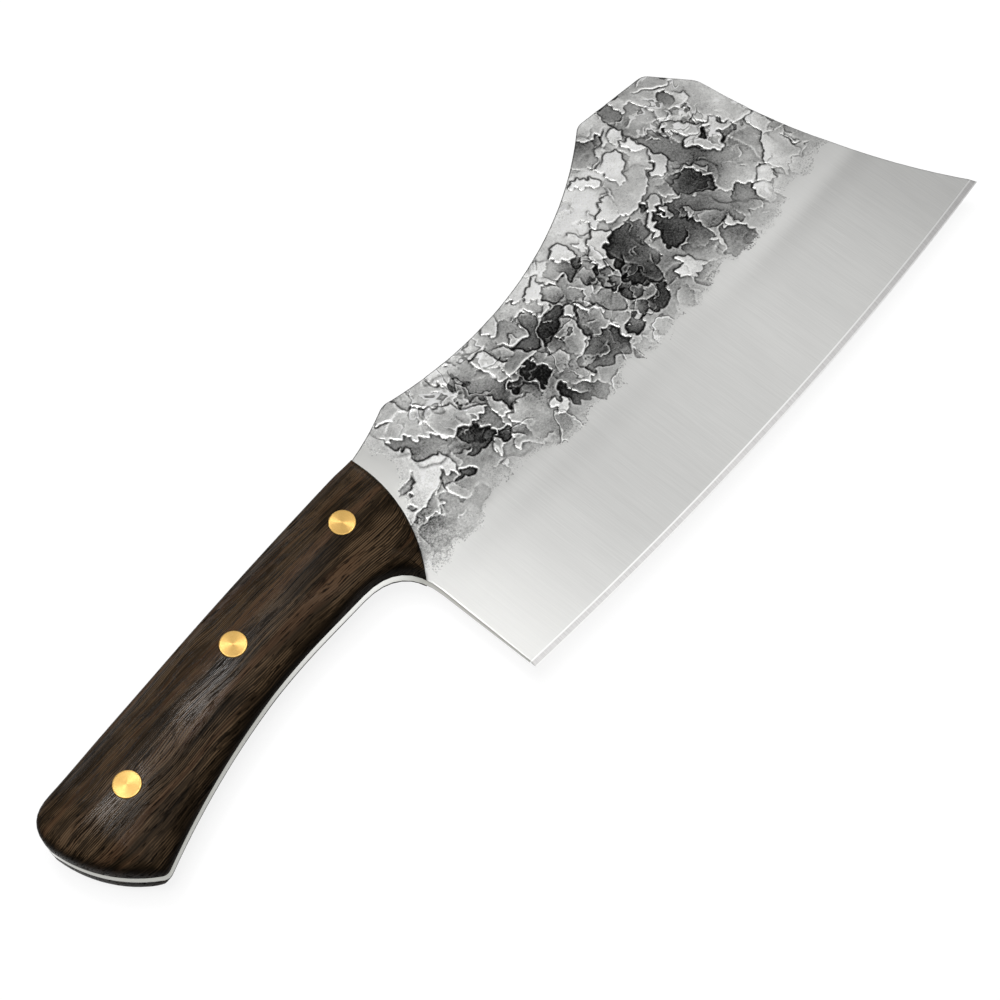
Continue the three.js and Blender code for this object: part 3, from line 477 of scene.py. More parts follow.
class ForgedFace:
    """Hammer scale as flakes laid over each other and torn lips between them. Holds fields over the
    face: level; shade; rough, which is high along the steps; forged and depth, the shares of the
    hammered finish and of its relief that the grind has left."""

    def __init__(self, seed):
        self.rng = np.random.default_rng(seed)
        xs = np.arange(*FACE_X, GRAIN)
        ys = np.arange(*FACE_Y, GRAIN)
        self.x, self.y = np.meshgrid(xs, ys)
        ragged = [np.abs(self.wave(*LOBES)) + self.wave(*RAGS) + self.wave(*FRAYS) for _ in range(2)]
        self.wx = self.x + ragged[0]
        self.wy = self.y + ragged[1]
        self.level = BASE_LEVEL + self.wave(8, 0.25) + self.wave(4, 0.15)
        self.shade = BASE_SHADE + SPINE_LIGHT * smoothstep(*SPINE_LIGHT_Y, self.y) + self.wave(9, 0.03)
        self.scatter(number=120, small=2.5, large=6.0, shade_change=0.03, level_change=0.35)
        for shade, level, points in FLAKES:
            outline = cut_corners(points)
            window = self.window(outline.min(0), outline.max(0))
            mask = inside(outline, self.wx[window], self.wy[window])
            if mask.any():
                self.paint(window, mask, shade, level)
        self.flow(size=8.5, rise=0.3)
        self.tear(number=140)
        for points in CRACKS:
            self.crack(points)
        self.finish()
        self.meet_grind()

    def wave(self, size, amount):
        return amount * lattice_noise(self.rng, self.x, self.y, size)

    def window(self, low, high, margin=1.5):
        """The samples between two corners and a margin round them."""
        start = ((np.array(low) - margin - (FACE_X[0], FACE_Y[0])) / GRAIN).astype(int).clip(0)
        end = ((np.array(high) + margin - (FACE_X[0], FACE_Y[0])) / GRAIN).astype(int).clip(1)
        return slice(start[1], end[1]), slice(start[0], end[0])

    def turned(self, window, centre, turn):
        """Ragged places in the window, from a centre, along and across a direction."""
        x = self.wx[window] - centre[0]
        y = self.wy[window] - centre[1]
        along = x * math.cos(turn) + y * math.sin(turn)
        across = y * math.cos(turn) - x * math.sin(turn)
        return along, across

    def paint(self, window, mask, shade, level):
        """One flake, lying askew: proud on one side, sunk into its neighbours on the other."""
        x = self.x[window][mask]
        y = self.y[window][mask]
        turn = self.rng.uniform(0, 2 * math.pi)
        across = (x - x.mean()) * math.cos(turn) + (y - y.mean()) * math.sin(turn)
        across /= np.abs(across).max() + 0.3  # a little more, so that small flakes tilt less
        self.shade[window][mask] = np.broadcast_to(shade, mask.shape)[mask] + FLAKE_SHADING * across
        self.level[window][mask] = level + FLAKE_TILT * across

    def scatter(self, number, small, large, shade_change, level_change):
        """Lobed leaves at random, each near the shade and level of what it lies on."""
        for _ in range(number):
            centre = self.rng.uniform(*LEAF_AREA)
            reach = self.rng.uniform(small, large)
            turn, phase = self.rng.uniform(0, 2 * math.pi, 2)
            narrow = self.rng.uniform(*LEAF_NARROWING)
            lobes = self.rng.integers(*LEAF_LOBES)
            shade = self.rng.normal(0, shade_change)
            level = self.rng.normal(0, level_change)
            window = self.window(centre - reach, centre + reach)
            u, v = self.turned(window, centre, turn)
            v = v / narrow
            lobe = np.abs(np.sin(lobes * np.arctan2(v, u) / 2 + phase))
            mask = np.hypot(u, v) < reach * (0.55 + 0.45 * lobe)
            if mask.any():
                base = float(self.level[window][mask].mean())
                self.paint(window, mask, self.shade[window] + shade, base + level)

    def tear(self, number):
        """Torn lips: a step along a short arc that dies away behind it and at both ends."""
        for _ in range(number):
            centre = self.rng.uniform(*TEAR_AREA)
            if any(math.hypot(centre[0] - x, centre[1] - y) < radius for x, y, radius in CALM):
                continue
            half = self.rng.uniform(*TEAR_HALF_LENGTH)
            turn = self.rng.uniform(0, 2 * math.pi)
            bend = self.rng.normal(0, TEAR_BEND)
            rise = self.rng.uniform(*TEAR_RISE) * self.rng.choice(TEAR_SENSE)
            window = self.window(centre - half - 1, centre + half + 1)
            u, v = self.turned(window, centre, turn)
            v = v - bend * u * u
            behind = np.exp(-np.clip(v, 0, None) / (TEAR_DECAY * half))
            fall = np.clip(1 - (u / half) ** 2, 0, 1) * behind
            self.level[window] += np.where(v > 0, rise * fall, 0)

    def flow(self, size, rise):
        """Winding steps along the contours of a noise, strong in some parts and dying away in others."""
        contour = self.wave(size, 1) + self.wave(size / 2.3, 0.5)
        strength = smoothstep(-0.2, 0.3, self.wave(2 * size, 1))
        for x, y, radius in CALM:
            away = np.hypot(self.x - x, self.y - y)
            strength = strength * smoothstep(0.6 * radius, 1.2 * radius, away)
        self.level += rise * strength * np.tanh(contour / FLOW_WIDTH)

    def crack(self, points):
        """A narrow open crack along a line of points, finer at its ends."""
        line = np.reshape(points, (-1, 2)).astype(float)
        window = self.window(line.min(0), line.max(0))
        spots = np.stack([self.wx[window], self.wy[window]], -1)
        depth = np.zeros(spots.shape[:2])
        for k, (a, b) in enumerate(zip(line[:-1], line[1:])):
            way = b - a
            along = np.clip(((spots - a) @ way) / (way @ way), 0, 1)
            gap = spots - a - along[..., None] * way
            place = (k + along) / (len(line) - 1)
            wide = CRACK_HALF_WIDTH[0] + CRACK_HALF_WIDTH[1] * np.sin(np.pi * place)
            depth = np.maximum(depth, smoothstep(1, 0.3, np.hypot(gap[..., 0], gap[..., 1]) / wide))
        self.level[window] -= CRACK_DEPTH * depth
        self.shade[window] -= CRACK_SOOT * depth

    def finish(self):
        """Steps a little rounded, soot gathered below them, lips worn bright, and clouds."""
        thin, medium, broad = (self.level - blurred(self.level, reach) for reach in (2, 4, 14))
        self.rough = blurred(np.abs(thin), 1)
        shade = (blurred(self.shade, 1) + blurred(self.shade, 16)) / 2
        shade = SHADE_CONTRAST * shade + 0.05 * smoothstep(62, 78, self.y)
        shade += np.where(thin > 0, LIP_LIGHT, FOOT_SOOT) * np.tanh(LIP_SHARPNESS * thin)
        shade += 0.13 * np.clip(medium, -1, 0.4) + 0.06 * np.clip(broad, -1.5, 1.2)
        for x, y, radius, change in CLOUDS:
            away = (self.x - x) ** 2 + (self.y - y) ** 2
            shade += change * np.exp(-1.3 * away / radius**2)
        shade += self.wave(6, 0.07) + self.wave(2.6, 0.05) + self.wave(1.1, 0.03)
        self.shade = np.clip(shade, 0.12, 1)
        sharpened = self.level + 0.5 * thin + 0.2 * medium
        self.level = blurred(sharpened, 1) + self.wave(2.5, 0.14) + self.wave(0.8, 0.06)

    def meet_grind(self):
        """The ragged borders where the grind and the ricasso end the hammering, worn paler there."""
        low = np.clip(self.level / TOP_LEVEL, 0, 1)
        waver = 1.5 * np.sin(self.x / 7.3) + 0.9 * np.sin(self.x / 2.9 + 1) + self.wave(3, 1.2)
        waver = waver - np.interp(self.x, BORDER_X, BORDER_RISE)
        above_grind = (self.y + waver - GRIND_FADE[0]) / (GRIND_FADE[1] - GRIND_FADE[0])
        from_scale = self.x + self.wave(3, 1.0) - np.interp(self.y, RICASSO_Y, RICASSO_X)
        kept = np.minimum(above_grind, from_scale / RICASSO_FADE + 0.5)
        self.forged = smoothstep(-0.25, 0.42, kept - 0.7 * low)
        self.depth = self.forged * smoothstep(-0.1, 2.0, kept)
        worn = 1 - smoothstep(0.2, 1.3, kept - 0.4 * low)
        self.shade += (BORDER_SHADE - self.shade) * BORDER_WEAR * worn

    def sample(self, field, x, y):
        """The field between its samples, at points anywhere."""
        rows, columns = self.x.shape
        u = np.clip((x - FACE_X[0]) / GRAIN, 0, columns - 1.001)
        v = np.clip((y - FACE_Y[0]) / GRAIN, 0, rows - 1.001)
        return interpolated(field, u, v)


face = ForgedFace(11)


def forged_share(x, y, field=face.forged):
    """How far the hammered finish, or its depth, holds at points of a side."""
    on_face = (y > FACE_Y[0] + 1) & (x > FACE_X[0] + 0.5)
    return np.where(on_face, face.sample(field, x, y), 0)


def edge_distance(x, y):
    return EDGE_RADIUS - np.hypot(x - EDGE_LENGTH / 2, y - EDGE_RADIUS + EDGE_BELLY)


def half_thickness(x, y):
    """Half the ground blade's thickness, without the hammering."""
    d = edge_distance(x, y)
    bevel = HALF_EDGE + (HALF_SHOULDER - HALF_EDGE) * np.clip(d, 0, None) / BEVEL_WIDTH
    rise = (HALF_BLADE - HALF_SHOULDER) / (GRIND_HEIGHT - BEVEL_WIDTH)
    wedge = HALF_SHOULDER + rise * (d - BEVEL_WIDTH)
    ground = np.minimum(np.where(d < BEVEL_WIDTH, bevel, wedge), HALF_BLADE)
    return np.where(x > GRIND_END_X, ground, HALF_BLADE)


# Meshes


def plan_loops(node, up):
    """Closed outlines, in heel-frame mm and anticlockwise, of the CAD node's faces that look up or
    down, the longest first."""
    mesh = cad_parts[node].data
    corners = [tuple(np.round(np.array(v.co) / MM - SHIFT, 5)) for v in mesh.vertices]
    ways = {}
    for polygon in mesh.polygons:
        if polygon.normal.z * up > 0.1:
            ring = [corners[i] for i in polygon.vertices]
            for a, b in zip(ring, ring[1:] + ring[:1]):
                if (b, a) in ways:
                    del ways[(b, a)]
                else:
                    ways[(a, b)] = True
    follows = {a: b for a, b in ways}
    loops = []
    while follows:
        start, here = follows.popitem()
        loop = [start]
        while here != start:
            loop.append(here)
            here = follows.pop(here)
        loop = np.array(loop)[:, :2]
        x, y = loop.T
        turn = np.sum(x * np.roll(y, -1) - y * np.roll(x, -1))
        loops.append(loop if turn > 0 else loop[::-1])
    return sorted(loops, key=lambda loop: -np.ptp(loop, 0).sum())


def resampled(loop, spacing):
    """The loop with its long sides divided."""
    steps = np.hypot(*(loop - np.roll(loop, 1, 0)).T)
    loop = loop[steps > 0.02]
    points = []
    for a, b in zip(loop, np.roll(loop, -1, 0)):
        parts = max(1, math.ceil(np.hypot(*(b - a)) / spacing))
        points += [a + (b - a) * k / parts for k in range(parts)]
    return np.array(points)


def inward_normals(loop):
    way = np.roll(loop, -1, 0) - np.roll(loop, 1, 0)
    way /= np.hypot(way[:, 0], way[:, 1])[:, None]
    return np.stack([-way[:, 1], way[:, 0]], 1)


def smoothed(values, rounds):
    """Values round a loop, each averaged with its neighbours again and again."""
    for _ in range(rounds):
        values = (np.roll(values, 1) + 2 * values + np.roll(values, -1)) / 4
    return values


def band(low, high, count):
    """Faces between two rings with as many points, numbered from low and from high."""
    here = np.arange(count)
    after = (here + 1) % count
    return np.column_stack([low + here, low + after, high + after, high + here]).tolist()


def filled(plan, edges, outline, holes=()):
    """Triangles between points of the plan that lie in the outline and not in a hole."""
    result = delaunay_2d_cdt([Vector(p) for p in plan], edges, [], 0, 1e-7, True)
    corners, triangles, origins = result[0], np.array(result[2]), result[3]
    middle = np.array([np.array(p) for p in corners])[triangles].mean(1)
    keep = inside(outline, *middle.T)
    for hole in holes:
        keep &= ~inside(hole, *middle.T)
    source = np.array([origin[0] for origin in origins])
    return source[triangles[keep]]


def placed(points):
    """Points in heel-frame mm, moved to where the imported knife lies, in metres."""
    return ((np.array(points) + SHIFT) * MM).tolist()


def add_object(name, points, faces):
    mesh = bpy.data.meshes.new(name)
    mesh.from_pydata(points, [], faces)
    thing = bpy.data.objects.new(name, mesh)
    bpy.context.scene.collection.objects.link(thing)
    return thing


def make_piece(name, points, faces, node, material, fields=None, sharp=None):
    """A smooth-shaded piece from heel-frame mm, standing for a CAD node. fields are values stored at
    its points, and sharp marks the points of a sharp crease."""
    piece = add_object(name, placed(points), faces)
    mesh = piece.data
    mesh.polygons.foreach_set("use_smooth", np.ones(len(mesh.polygons), bool))
    for field, values in (fields or {}).items():
        stored = mesh.attributes.new(field, "FLOAT", "POINT")
        stored.data.foreach_set("value", np.array(values, np.float32))
    if sharp is not None:
        ends = np.zeros(2 * len(mesh.edges), np.int32)
        mesh.edges.foreach_get("vertices", ends)
        crease = sharp[ends.reshape(-1, 2)].all(1)
        mesh.attributes.new("sharp_edge", "BOOLEAN", "EDGE").data.foreach_set("value", crease)
    mesh.validate()
    mesh.materials.append(material)
    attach(piece, "root")
    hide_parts(node)
    return piece


def face_points(bound, holes, fine, middle, coarse):
    """Points over the blade's side: fine along steps of the hammer scale, coarser away from them."""
    row_height = LATTICE * math.sqrt(0.75)
    rows = np.arange(math.floor(SIDE_Y[0] / row_height), math.ceil(SIDE_Y[1] / row_height) + 1)
    first = math.floor(SIDE_X[0] / LATTICE - rows[-1] / 2)
    last = math.ceil(SIDE_X[1] / LATTICE - rows[0] / 2)
    i, j = np.meshgrid(np.arange(first, last + 1), rows)
    x = (i + 0.5 * j) * LATTICE
    y = j * LATTICE * math.sqrt(0.75)
    keep = (x > SIDE_X[0]) & (x < SIDE_X[1]) & (y > SIDE_Y[0]) & (y < SIDE_Y[1])
    i, j, x, y = i[keep], j[keep], x[keep], y[keep]

    def on_grid(n):
        return (i % n == 0) & (j % n == 0)

    hammered = forged_share(x, y) > 0.02
    stepped = hammered & (face.sample(face.rough, x, y) > 0.12)
    keep = (stepped & on_grid(fine)) | (hammered & on_grid(middle)) | on_grid(coarse)
    x, y = x[keep], y[keep]
    keep = inside(bound, x, y)
    for hole in holes:
        centre = hole.mean(0)
        keep &= np.hypot(x - centre[0], y - centre[1]) > np.hypot(*(hole[0] - centre)) + HOLE_SPACE
    keep &= np.abs(edge_distance(x, y) - BEVEL_WIDTH) > SHOULDER_SPACE
    return np.stack([x[keep], y[keep]], 1)


def bevel_shoulder(bound):
    """Points along the line where the bevel meets the grind."""
    x = np.arange(1.2, EDGE_LENGTH - 1.5, OUTLINE_SPACING)
    rise = np.sqrt((EDGE_RADIUS - BEVEL_WIDTH) ** 2 - (x - EDGE_LENGTH / 2) ** 2)
    shoulder = np.stack([x, EDGE_RADIUS - EDGE_BELLY - rise], 1)
    return shoulder[inside(bound, *shoulder.T)]


def blade_piece(material):
    outline, *holes = plan_loops("blade", 1)
    outline = resampled(outline, OUTLINE_SPACING)
    normals = inward_normals(outline)
    soft = np.minimum(RIM_ROUND, RIM_SHARE * half_thickness(*outline.T))
    # Rings from the wall over its rounded rim onto the side: plan, depth below the side, share of wall
    rings = []
    for turn in np.radians([0, 45, 90]):
        plan = outline + normals * (soft * (1 - math.cos(turn)))[:, None]
        rings.append((plan, soft * (1 - math.sin(turn)), math.cos(turn) ** 3))
    inner = outline + normals * (INNER_RING * soft)[:, None]
    rings.append((inner, 0, 0))
    bound = outline + normals * (soft + RING_SPACE)[:, None]
    shoulder = bevel_shoulder(bound)
    points = []
    faces = []
    fields = {"forged": [], "shade": [], "edge": [], "wall": []}
    creases = []

    def add(plan, side, lower=0, wall=0, crease=False):
        """Points of one side, lowered below its surface, and their finish. Returns where they start."""
        start = sum(len(p) for p in points)
        x, y = plan.T
        relief = np.clip(STEP * (TOP_LEVEL - face.sample(face.level, x, y)), 0, RELIEF_DEPTH)
        z = half_thickness(x, y) - lower - forged_share(x, y, face.depth) * relief
        points.append(np.column_stack([x, y, side * z]))
        fields["wall"].append(np.full(len(x), wall))
        fields["forged"].append(forged_share(x, y) * (1 - wall))
        fields["shade"].append(face.sample(face.shade, x, y))
        fields["edge"].append(edge_distance(x, y))
        creases.append(np.full(len(x), crease))
        return start

    ring_starts = []
    for side in (-1, 1):
        for plan, lower, wall in rings if side > 0 else rings[::-1]:
            ring_starts.append(add(plan, side, lower, wall))
    for low, high in zip(ring_starts[:-1], ring_starts[1:]):
        faces += band(low, high, len(outline))
    hole_starts = {side: [add(hole, side) for hole in holes] for side in (-1, 1)}
    for hole, low, high in zip(holes, hole_starts[-1], hole_starts[1]):
        faces += band(high, low, len(hole))
    for side, spacing, ring in ((1, RIGHT_SPACING, -1), (-1, LEFT_SPACING, 0)):
        free = face_points(bound, holes, *spacing)
        # Lines of points that the triangles keep to, and free points: plan, start, whether closed
        parts = [(inner, ring_starts[ring], True)]
        parts += [(hole, start, True) for hole, start in zip(holes, hole_starts[side])]
        parts.append((shoulder, add(shoulder, side, crease=True), False))
        parts.append((free, add(free, side), None))
        spots = np.concatenate([plan for plan, _, _ in parts])
        index = np.concatenate([start + np.arange(len(plan)) for plan, start, _ in parts])
        edges = []
        at = 0
        for plan, _, closed in parts:
            if closed is not None:
                edges += [(at + k, at + k + 1) for k in range(len(plan) - 1)]
            if closed:
                edges.append((at + len(plan) - 1, at))
            at += len(plan)
        triangles = index[filled(spots, edges, inner, holes)]
        faces += (triangles if side > 0 else triangles[:, ::-1]).tolist()
    fields = {name: np.concatenate(values) for name, values in fields.items()}
    make_piece("forged_blade", np.concatenate(points), faces, "blade", material,
               fields, np.concatenate(creases))


rivet_holes = sorted(plan_loops("blade", 1)[1:], key=lambda hole: hole[:, 0].mean())
REAR, MIDDLE, FRONT = ((hole.min(0) + hole.max(0)) / 2 for hole in rivet_holes)


def crown_height(x):
    """Height of the scales above the tang along the line of rivets."""
    behind = np.clip((MIDDLE[0] - x) / (MIDDLE[0] - REAR[0]), 0, 1)
    ahead = np.clip((x - MIDDLE[0]) / (NECK_X - MIDDLE[0]), 0, 1)
    dip = WAIST_FALL * (1 - np.cos(2 * np.pi * behind)) / 2
    fall = FRONT_FALL * (1 - np.cos(np.pi * ahead)) / 2
    return SCALE_HEIGHT - dip - fall


def lathe(profile, centre, flip=False):
    """Points and faces of a closed turned piece: profile of radius and z, from axis to axis."""
    points = []
    rings = []
    turns = 2 * np.pi * np.arange(TURNED_STEPS) / TURNED_STEPS
    for radius, z in profile:
        z = -z if flip else z
        if radius == 0:
            rings.append([len(points)] * TURNED_STEPS)
            points.append((centre[0], centre[1], z))
        else:
            rings.append(list(range(len(points), len(points) + TURNED_STEPS)))
            points += [(centre[0] + radius * math.cos(t), centre[1] + radius * math.sin(t), z) for t in turns]
    faces = []
    for low, high in zip(rings[:-1], rings[1:]):
        for k in range(TURNED_STEPS):
            n = (k + 1) % TURNED_STEPS
            corners = list(dict.fromkeys([low[k], low[n], high[n], high[k]]))
            if len(corners) > 2:
                faces.append(corners[::-1] if flip else corners)
    return points, faces


def seat_level(centre):
    return HALF_BLADE + float(crown_height(centre[0])) - HEAD_SINK - HEAD_THICKNESS


def scale_fullness(loop, side):
    """How square the scale's section is round its outline. out is the way that the outline faces."""
    x, y = loop.T
    out_x, out_y = -inward_normals(loop).T
    fullness = np.where(out_y < 0, NEAR_FULLNESS, SIDE_FULLNESS)
    butt = smoothed(np.where(out_x < BUTT_FACING, 1.0, 0.0), BUTT_SMOOTHING)
    fullness = fullness + (BUTT_FULLNESS - fullness) * butt
    # Fuller towards the lower front tip, along the notch and down the front
    to_tip = np.hypot(*(loop - loop[np.argmin(y - x)]).T)
    notch = (y < WAIST_HEIGHT + 0.1) & (x > -NOTCH_ROUND - 4) & (out_x < FRONT_FACING)
    near_tip = np.clip(1.25 - to_tip / NOTCH_ROUND, 0, 1)
    fullness = np.where(notch, NEAR_FULLNESS + (NOTCH_FULLNESS - NEAR_FULLNESS) * near_tip, fullness)
    front = (out_x > FRONT_FACING) & (x > -2)
    down_front = np.interp(to_tip, FRONT_REACH, (NOTCH_FULLNESS, FRONT_FULLNESS, SIDE_FULLNESS))
    fullness = np.where(front, down_front, fullness)
    to_corner = np.hypot(*(loop - loop[np.argmax(x + y)]).T)
    fullness = np.minimum(fullness, CORNER_FULLNESS + to_corner / 9)
    if side < 0:
        # The far scale is rounded more along the belly and at the notch, where the photo shows none of it
        belly = (out_y < -0.4) & (out_x > -0.5)
        fullness = np.where(belly, np.minimum(fullness, HIDDEN_FULLNESS), fullness)
        fullness = np.minimum(fullness, HIDDEN_TIP_FULLNESS + to_tip / 15)
    return smoothed(fullness, SECTION_SMOOTHING)


def scale_piece(name, node, side, material):
    """A scale as rings that draw in along ribs towards the rivet line on a rounded section."""
    loop = resampled(plan_loops(node, -side)[0], SCALE_SPACING)
    line = FRONT - REAR
    along = np.clip((loop - REAR) @ line / (line @ line), *RIB_REACH)
    foot = REAR + along[:, None] * line
    power = 2 / scale_fullness(loop, side)
    rings = []
    for turn in np.radians(RIB_TURNS):
        inward = 1 - math.cos(turn) ** power
        spot = loop + (foot - loop) * inward[:, None]
        rise = crown_height(spot[:, 0]) * math.sin(turn) ** power
        rings.append(np.column_stack([spot, HALF_BLADE + rise]))
    count = len(loop)
    top = (len(rings) - 1) * count
    faces = []
    for low in range(0, top, count):
        faces += band(low, low + count, count)
    edges = [(k, (k + 1) % count) for k in range(count)]
    for ring, start in ((rings[0], 0), (rings[-1], top)):
        plan = ring[:, :2]
        cap = start + filled(plan, edges, plan)
        faces += (cap if start else cap[:, ::-1]).tolist()
    points = np.concatenate(rings)
    points[:, 2] *= side
    if side < 0:
        faces = [corners[::-1] for corners in faces]
    piece = make_piece(name, points, faces, node, material)
    cut_rivet_holes(piece, side)


def cut_rivet_holes(piece, side):
    points = []
    faces = []
    bore = SLEEVE_RADIUS + RIVET_CLEARANCE
    wide = HEAD_RADIUS + RIVET_CLEARANCE
    for centre in (FRONT, MIDDLE, REAR):
        seat = seat_level(centre)
        profile = [(0, HOLE_FROM), (bore, HOLE_FROM), (bore, seat)]
        profile += [(wide, seat), (wide, HOLE_TO), (0, HOLE_TO)]
        more, corners = lathe(profile, centre, side < 0)
        faces += [[len(points) + i for i in ring] for ring in corners]
        points += more
    cutter = add_object("cutter", placed(points), faces)
    modifier = piece.modifiers.new("rivet_holes", "BOOLEAN")
    modifier.object = cutter
    modifier.solver = "EXACT"
    bpy.context.view_layer.update()
    made = bpy.data.meshes.new_from_object(piece.evaluated_get(bpy.context.evaluated_depsgraph_get()))
    piece.modifiers.clear()
    old = piece.data
    piece.data = made
    bpy.data.meshes.remove(old)
    bpy.data.objects.remove(cutter)
    made.set_sharp_from_angle(angle=SCALE_CREASE)


def rivet_pieces(label, centre, material):
    """Both halves of one rivet, each with a flat head and a rounded rim."""
    seat = seat_level(centre)
    top = seat + HEAD_THICKNESS + HEAD_DOME
    head = [(HEAD_RADIUS, seat)]
    for turn in np.radians(np.arange(0, 91, 15)):
        radius = HEAD_RADIUS - HEAD_EASE * (1 - math.cos(turn))
        head.append((radius, top - HEAD_EASE * (1 - math.sin(turn))))
    head += [(HEAD_RADIUS * share, top) for share in (0.9, 0.6, 0.3, 0)]
    bore = PIN_RADIUS + PIN_CLEARANCE
    bore_end = PIN_REACH + BORE_SPARE
    end = SLEEVE_END_GAP - seat
    sleeve = [(0, bore_end), (bore, bore_end), (bore, end), (SLEEVE_RADIUS, end), (SLEEVE_RADIUS, seat)]
    pin = [(0, -PIN_REACH), (PIN_RADIUS, -PIN_REACH), (PIN_RADIUS, seat)]
    for half, profile, flip in (("sleeve", sleeve, False), ("pin", pin, True)):
        points, faces = lathe(profile + head, centre, flip)
        node = f"{label}_rivet_{half}"
        piece = make_piece(f"{label}_{half}", points, faces, node, material)
        piece.data.set_sharp_from_angle(angle=RIVET_CREASE)


# Materials


class Value:
    """A shader value that adds, subtracts and multiplies like a number."""

    def __init__(self, nodes, socket):
        self.nodes = nodes
        self.socket = socket

    def __add__(self, other):
        return self.nodes.math("ADD", self, other)

    def __sub__(self, other):
        return self.nodes.math("SUBTRACT", self, other)

    def __rsub__(self, other):
        return self.nodes.math("SUBTRACT", other, self)

    def __mul__(self, other):
        return self.nodes.math("MULTIPLY", self, other)

    __rmul__ = __mul__


class Nodes:
    """A node tree with short ways to add nodes. Inputs given as values of other nodes are linked."""

    def __init__(self, tree):
        self.tree = tree
        tree.nodes.clear()

    def value(self, kind, inputs=None, output=0, **settings):
        """One output of a new node."""
        node = self.tree.nodes.new(kind)
        for name, setting in settings.items():
            setattr(node, name, setting)
        for key, given in (inputs or {}).items():
            if isinstance(given, Value):
                self.tree.links.new(given.socket, node.inputs[key])
            else:
                node.inputs[key].default_value = given
        return Value(self, node.outputs[output]) if node.outputs else None

    def math(self, operation, *values):
        return self.value("ShaderNodeMath", dict(enumerate(values)), operation=operation)

    def larger(self, a, b):
        return self.math("MAXIMUM", a, b)

    def attribute(self, name):
        return self.value("ShaderNodeAttribute", output="Fac", attribute_name=name)

    def between(self, value, low, high, start=0, end=1):
        """The value's place between low and high, eased, from start to end."""
        inputs = {"Value": value, "From Min": low, "From Max": high, "To Min": start, "To Max": end}
        return self.value("ShaderNodeMapRange", inputs, interpolation_type="SMOOTHSTEP")

    def spot(self):
        return self.value("ShaderNodeTexCoord", output="Object")

    def millimetres(self, *scale):
        """Places on the part in millimetres, scaled along each axis."""
        inputs = {"Vector": self.spot(), "Scale": [s / MM for s in scale or (1, 1, 1)]}
        return self.value("ShaderNodeMapping", inputs, vector_type="POINT")

    def axis(self, vector, number):
        return self.value("ShaderNodeSeparateXYZ", {0: vector}, number)

    def noise(self, vector, scale=1, detail=2, roughness=0.5, distortion=0):
        inputs = {"Vector": vector, "Scale": scale, "Detail": detail, "Roughness": roughness}
        return self.value("ShaderNodeTexNoise", inputs | {"Distortion": distortion}, "Fac")

    def mix(self, share, a, b):
        """A colour between two."""
        return self.value("ShaderNodeMix", {0: share, 6: a, 7: b}, 2, data_type="RGBA")

    def blend(self, share, a, b):
        """A number between two."""
        return self.value("ShaderNodeMix", {0: share, 2: a, 3: b}, data_type="FLOAT")

    def ramp(self, value, stops):
        ramp = self.value("ShaderNodeValToRGB", {"Fac": value})
        elements = ramp.socket.node.color_ramp.elements
        while len(elements) < len(stops):
            elements.new(0.5)
        for element, (place, colour) in zip(elements, stops):
            element.position = place
            element.color = (*colour, 1)
        return ramp

    def bump(self, height, strength, distance):
        return self.value("ShaderNodeBump", {"Height": height, "Strength": strength, "Distance": distance})

    def surface(self, kind, inputs):
        """The shader that the material shows."""
        self.value("ShaderNodeOutputMaterial", {"Surface": self.value(kind, inputs)})


def material_nodes(name):
    material = bpy.data.materials.new(name)
    material.use_nodes = True
    return material, Nodes(material.node_tree)


# Colours of the steel: its satin lines from dark to light, the bevel's lines, and parts that differ, with
# painted shade and sheen
SATIN = [(0.25, (0.585, 0.585, 0.573)), (0.75, (0.715, 0.715, 0.7))]
BEVEL = [(0.3, (0.62, 0.61, 0.605)), (0.7, (0.78, 0.77, 0.765))]
CLOUDED_STEEL = (0.55, 0.55, 0.54, 1)
HOLLOW_SHADE_PAINT = (0.34, 0.34, 0.335, 1)
GRIND_SHEEN_PAINT = (0.8, 0.8, 0.785, 1)
HEEL_SHEEN_PAINT = (0.86, 0.86, 0.84, 1)
WALL_SHADE_PAINT = (0.42, 0.42, 0.385, 1)
RICASSO_STEEL = (0.95, 0.95, 0.92, 1)
GLINTING_STEEL = (0.97, 0.97, 0.96, 1)
SCALE_GAMMA = 2.2
# Colours of the wood from dark to light layers, its red streaks, pores and shaded sides
WOOD = [
    (0.3, (0.0028, 0.0019, 0.0011)),
    (0.43, (0.0100, 0.0067, 0.0038)),
    (0.54, (0.036, 0.0232, 0.0130)),
    (0.66, (0.108, 0.069, 0.039)),
]
RED_WOOD = (0.060, 0.027, 0.013, 1)
WOOD_PORE = (0.003, 0.002, 0.0012, 1)
SHADED_WOOD = (0.004, 0.003, 0.002, 1)
BRASS = [(0.3, (0.88, 0.52, 0.135)), (0.7, (0.96, 0.62, 0.2))]
# Roughness from one end of each pattern to the other, and strength and depth of bumps, m
SATIN_ROUGHNESS = (0.26, 0.36)
SCALE_ROUGHNESS = (0.26, 0.44)
BEVEL_ROUGHNESS = 0.3
WOOD_ROUGHNESS = (0.17, 0.27)
PORE_ROUGHNESS = 0.75
BRASS_ROUGHNESS = (0.34, 0.38)
STEEL_BUMP = (0.3, 0.00008)
WOOD_BUMP = (0.35, 0.00012)


def torn_lips(n, spot, scale):
    """Shade of thin lips along the contours of a noise: a bright line by a dark one, in parts."""
    field = n.noise(spot, scale, 3, 0.5, 0.3)
    bright = n.between(field, 0.497, 0.505) * n.between(field, 0.52, 0.535, 1, 0)
    dark = n.between(field, 0.465, 0.48) * n.between(field, 0.493, 0.502, 1, 0)
    where = n.between(n.noise(spot, 0.5 * scale), 0.5, 0.58)
    return (0.24 * bright - 0.28 * dark) * where


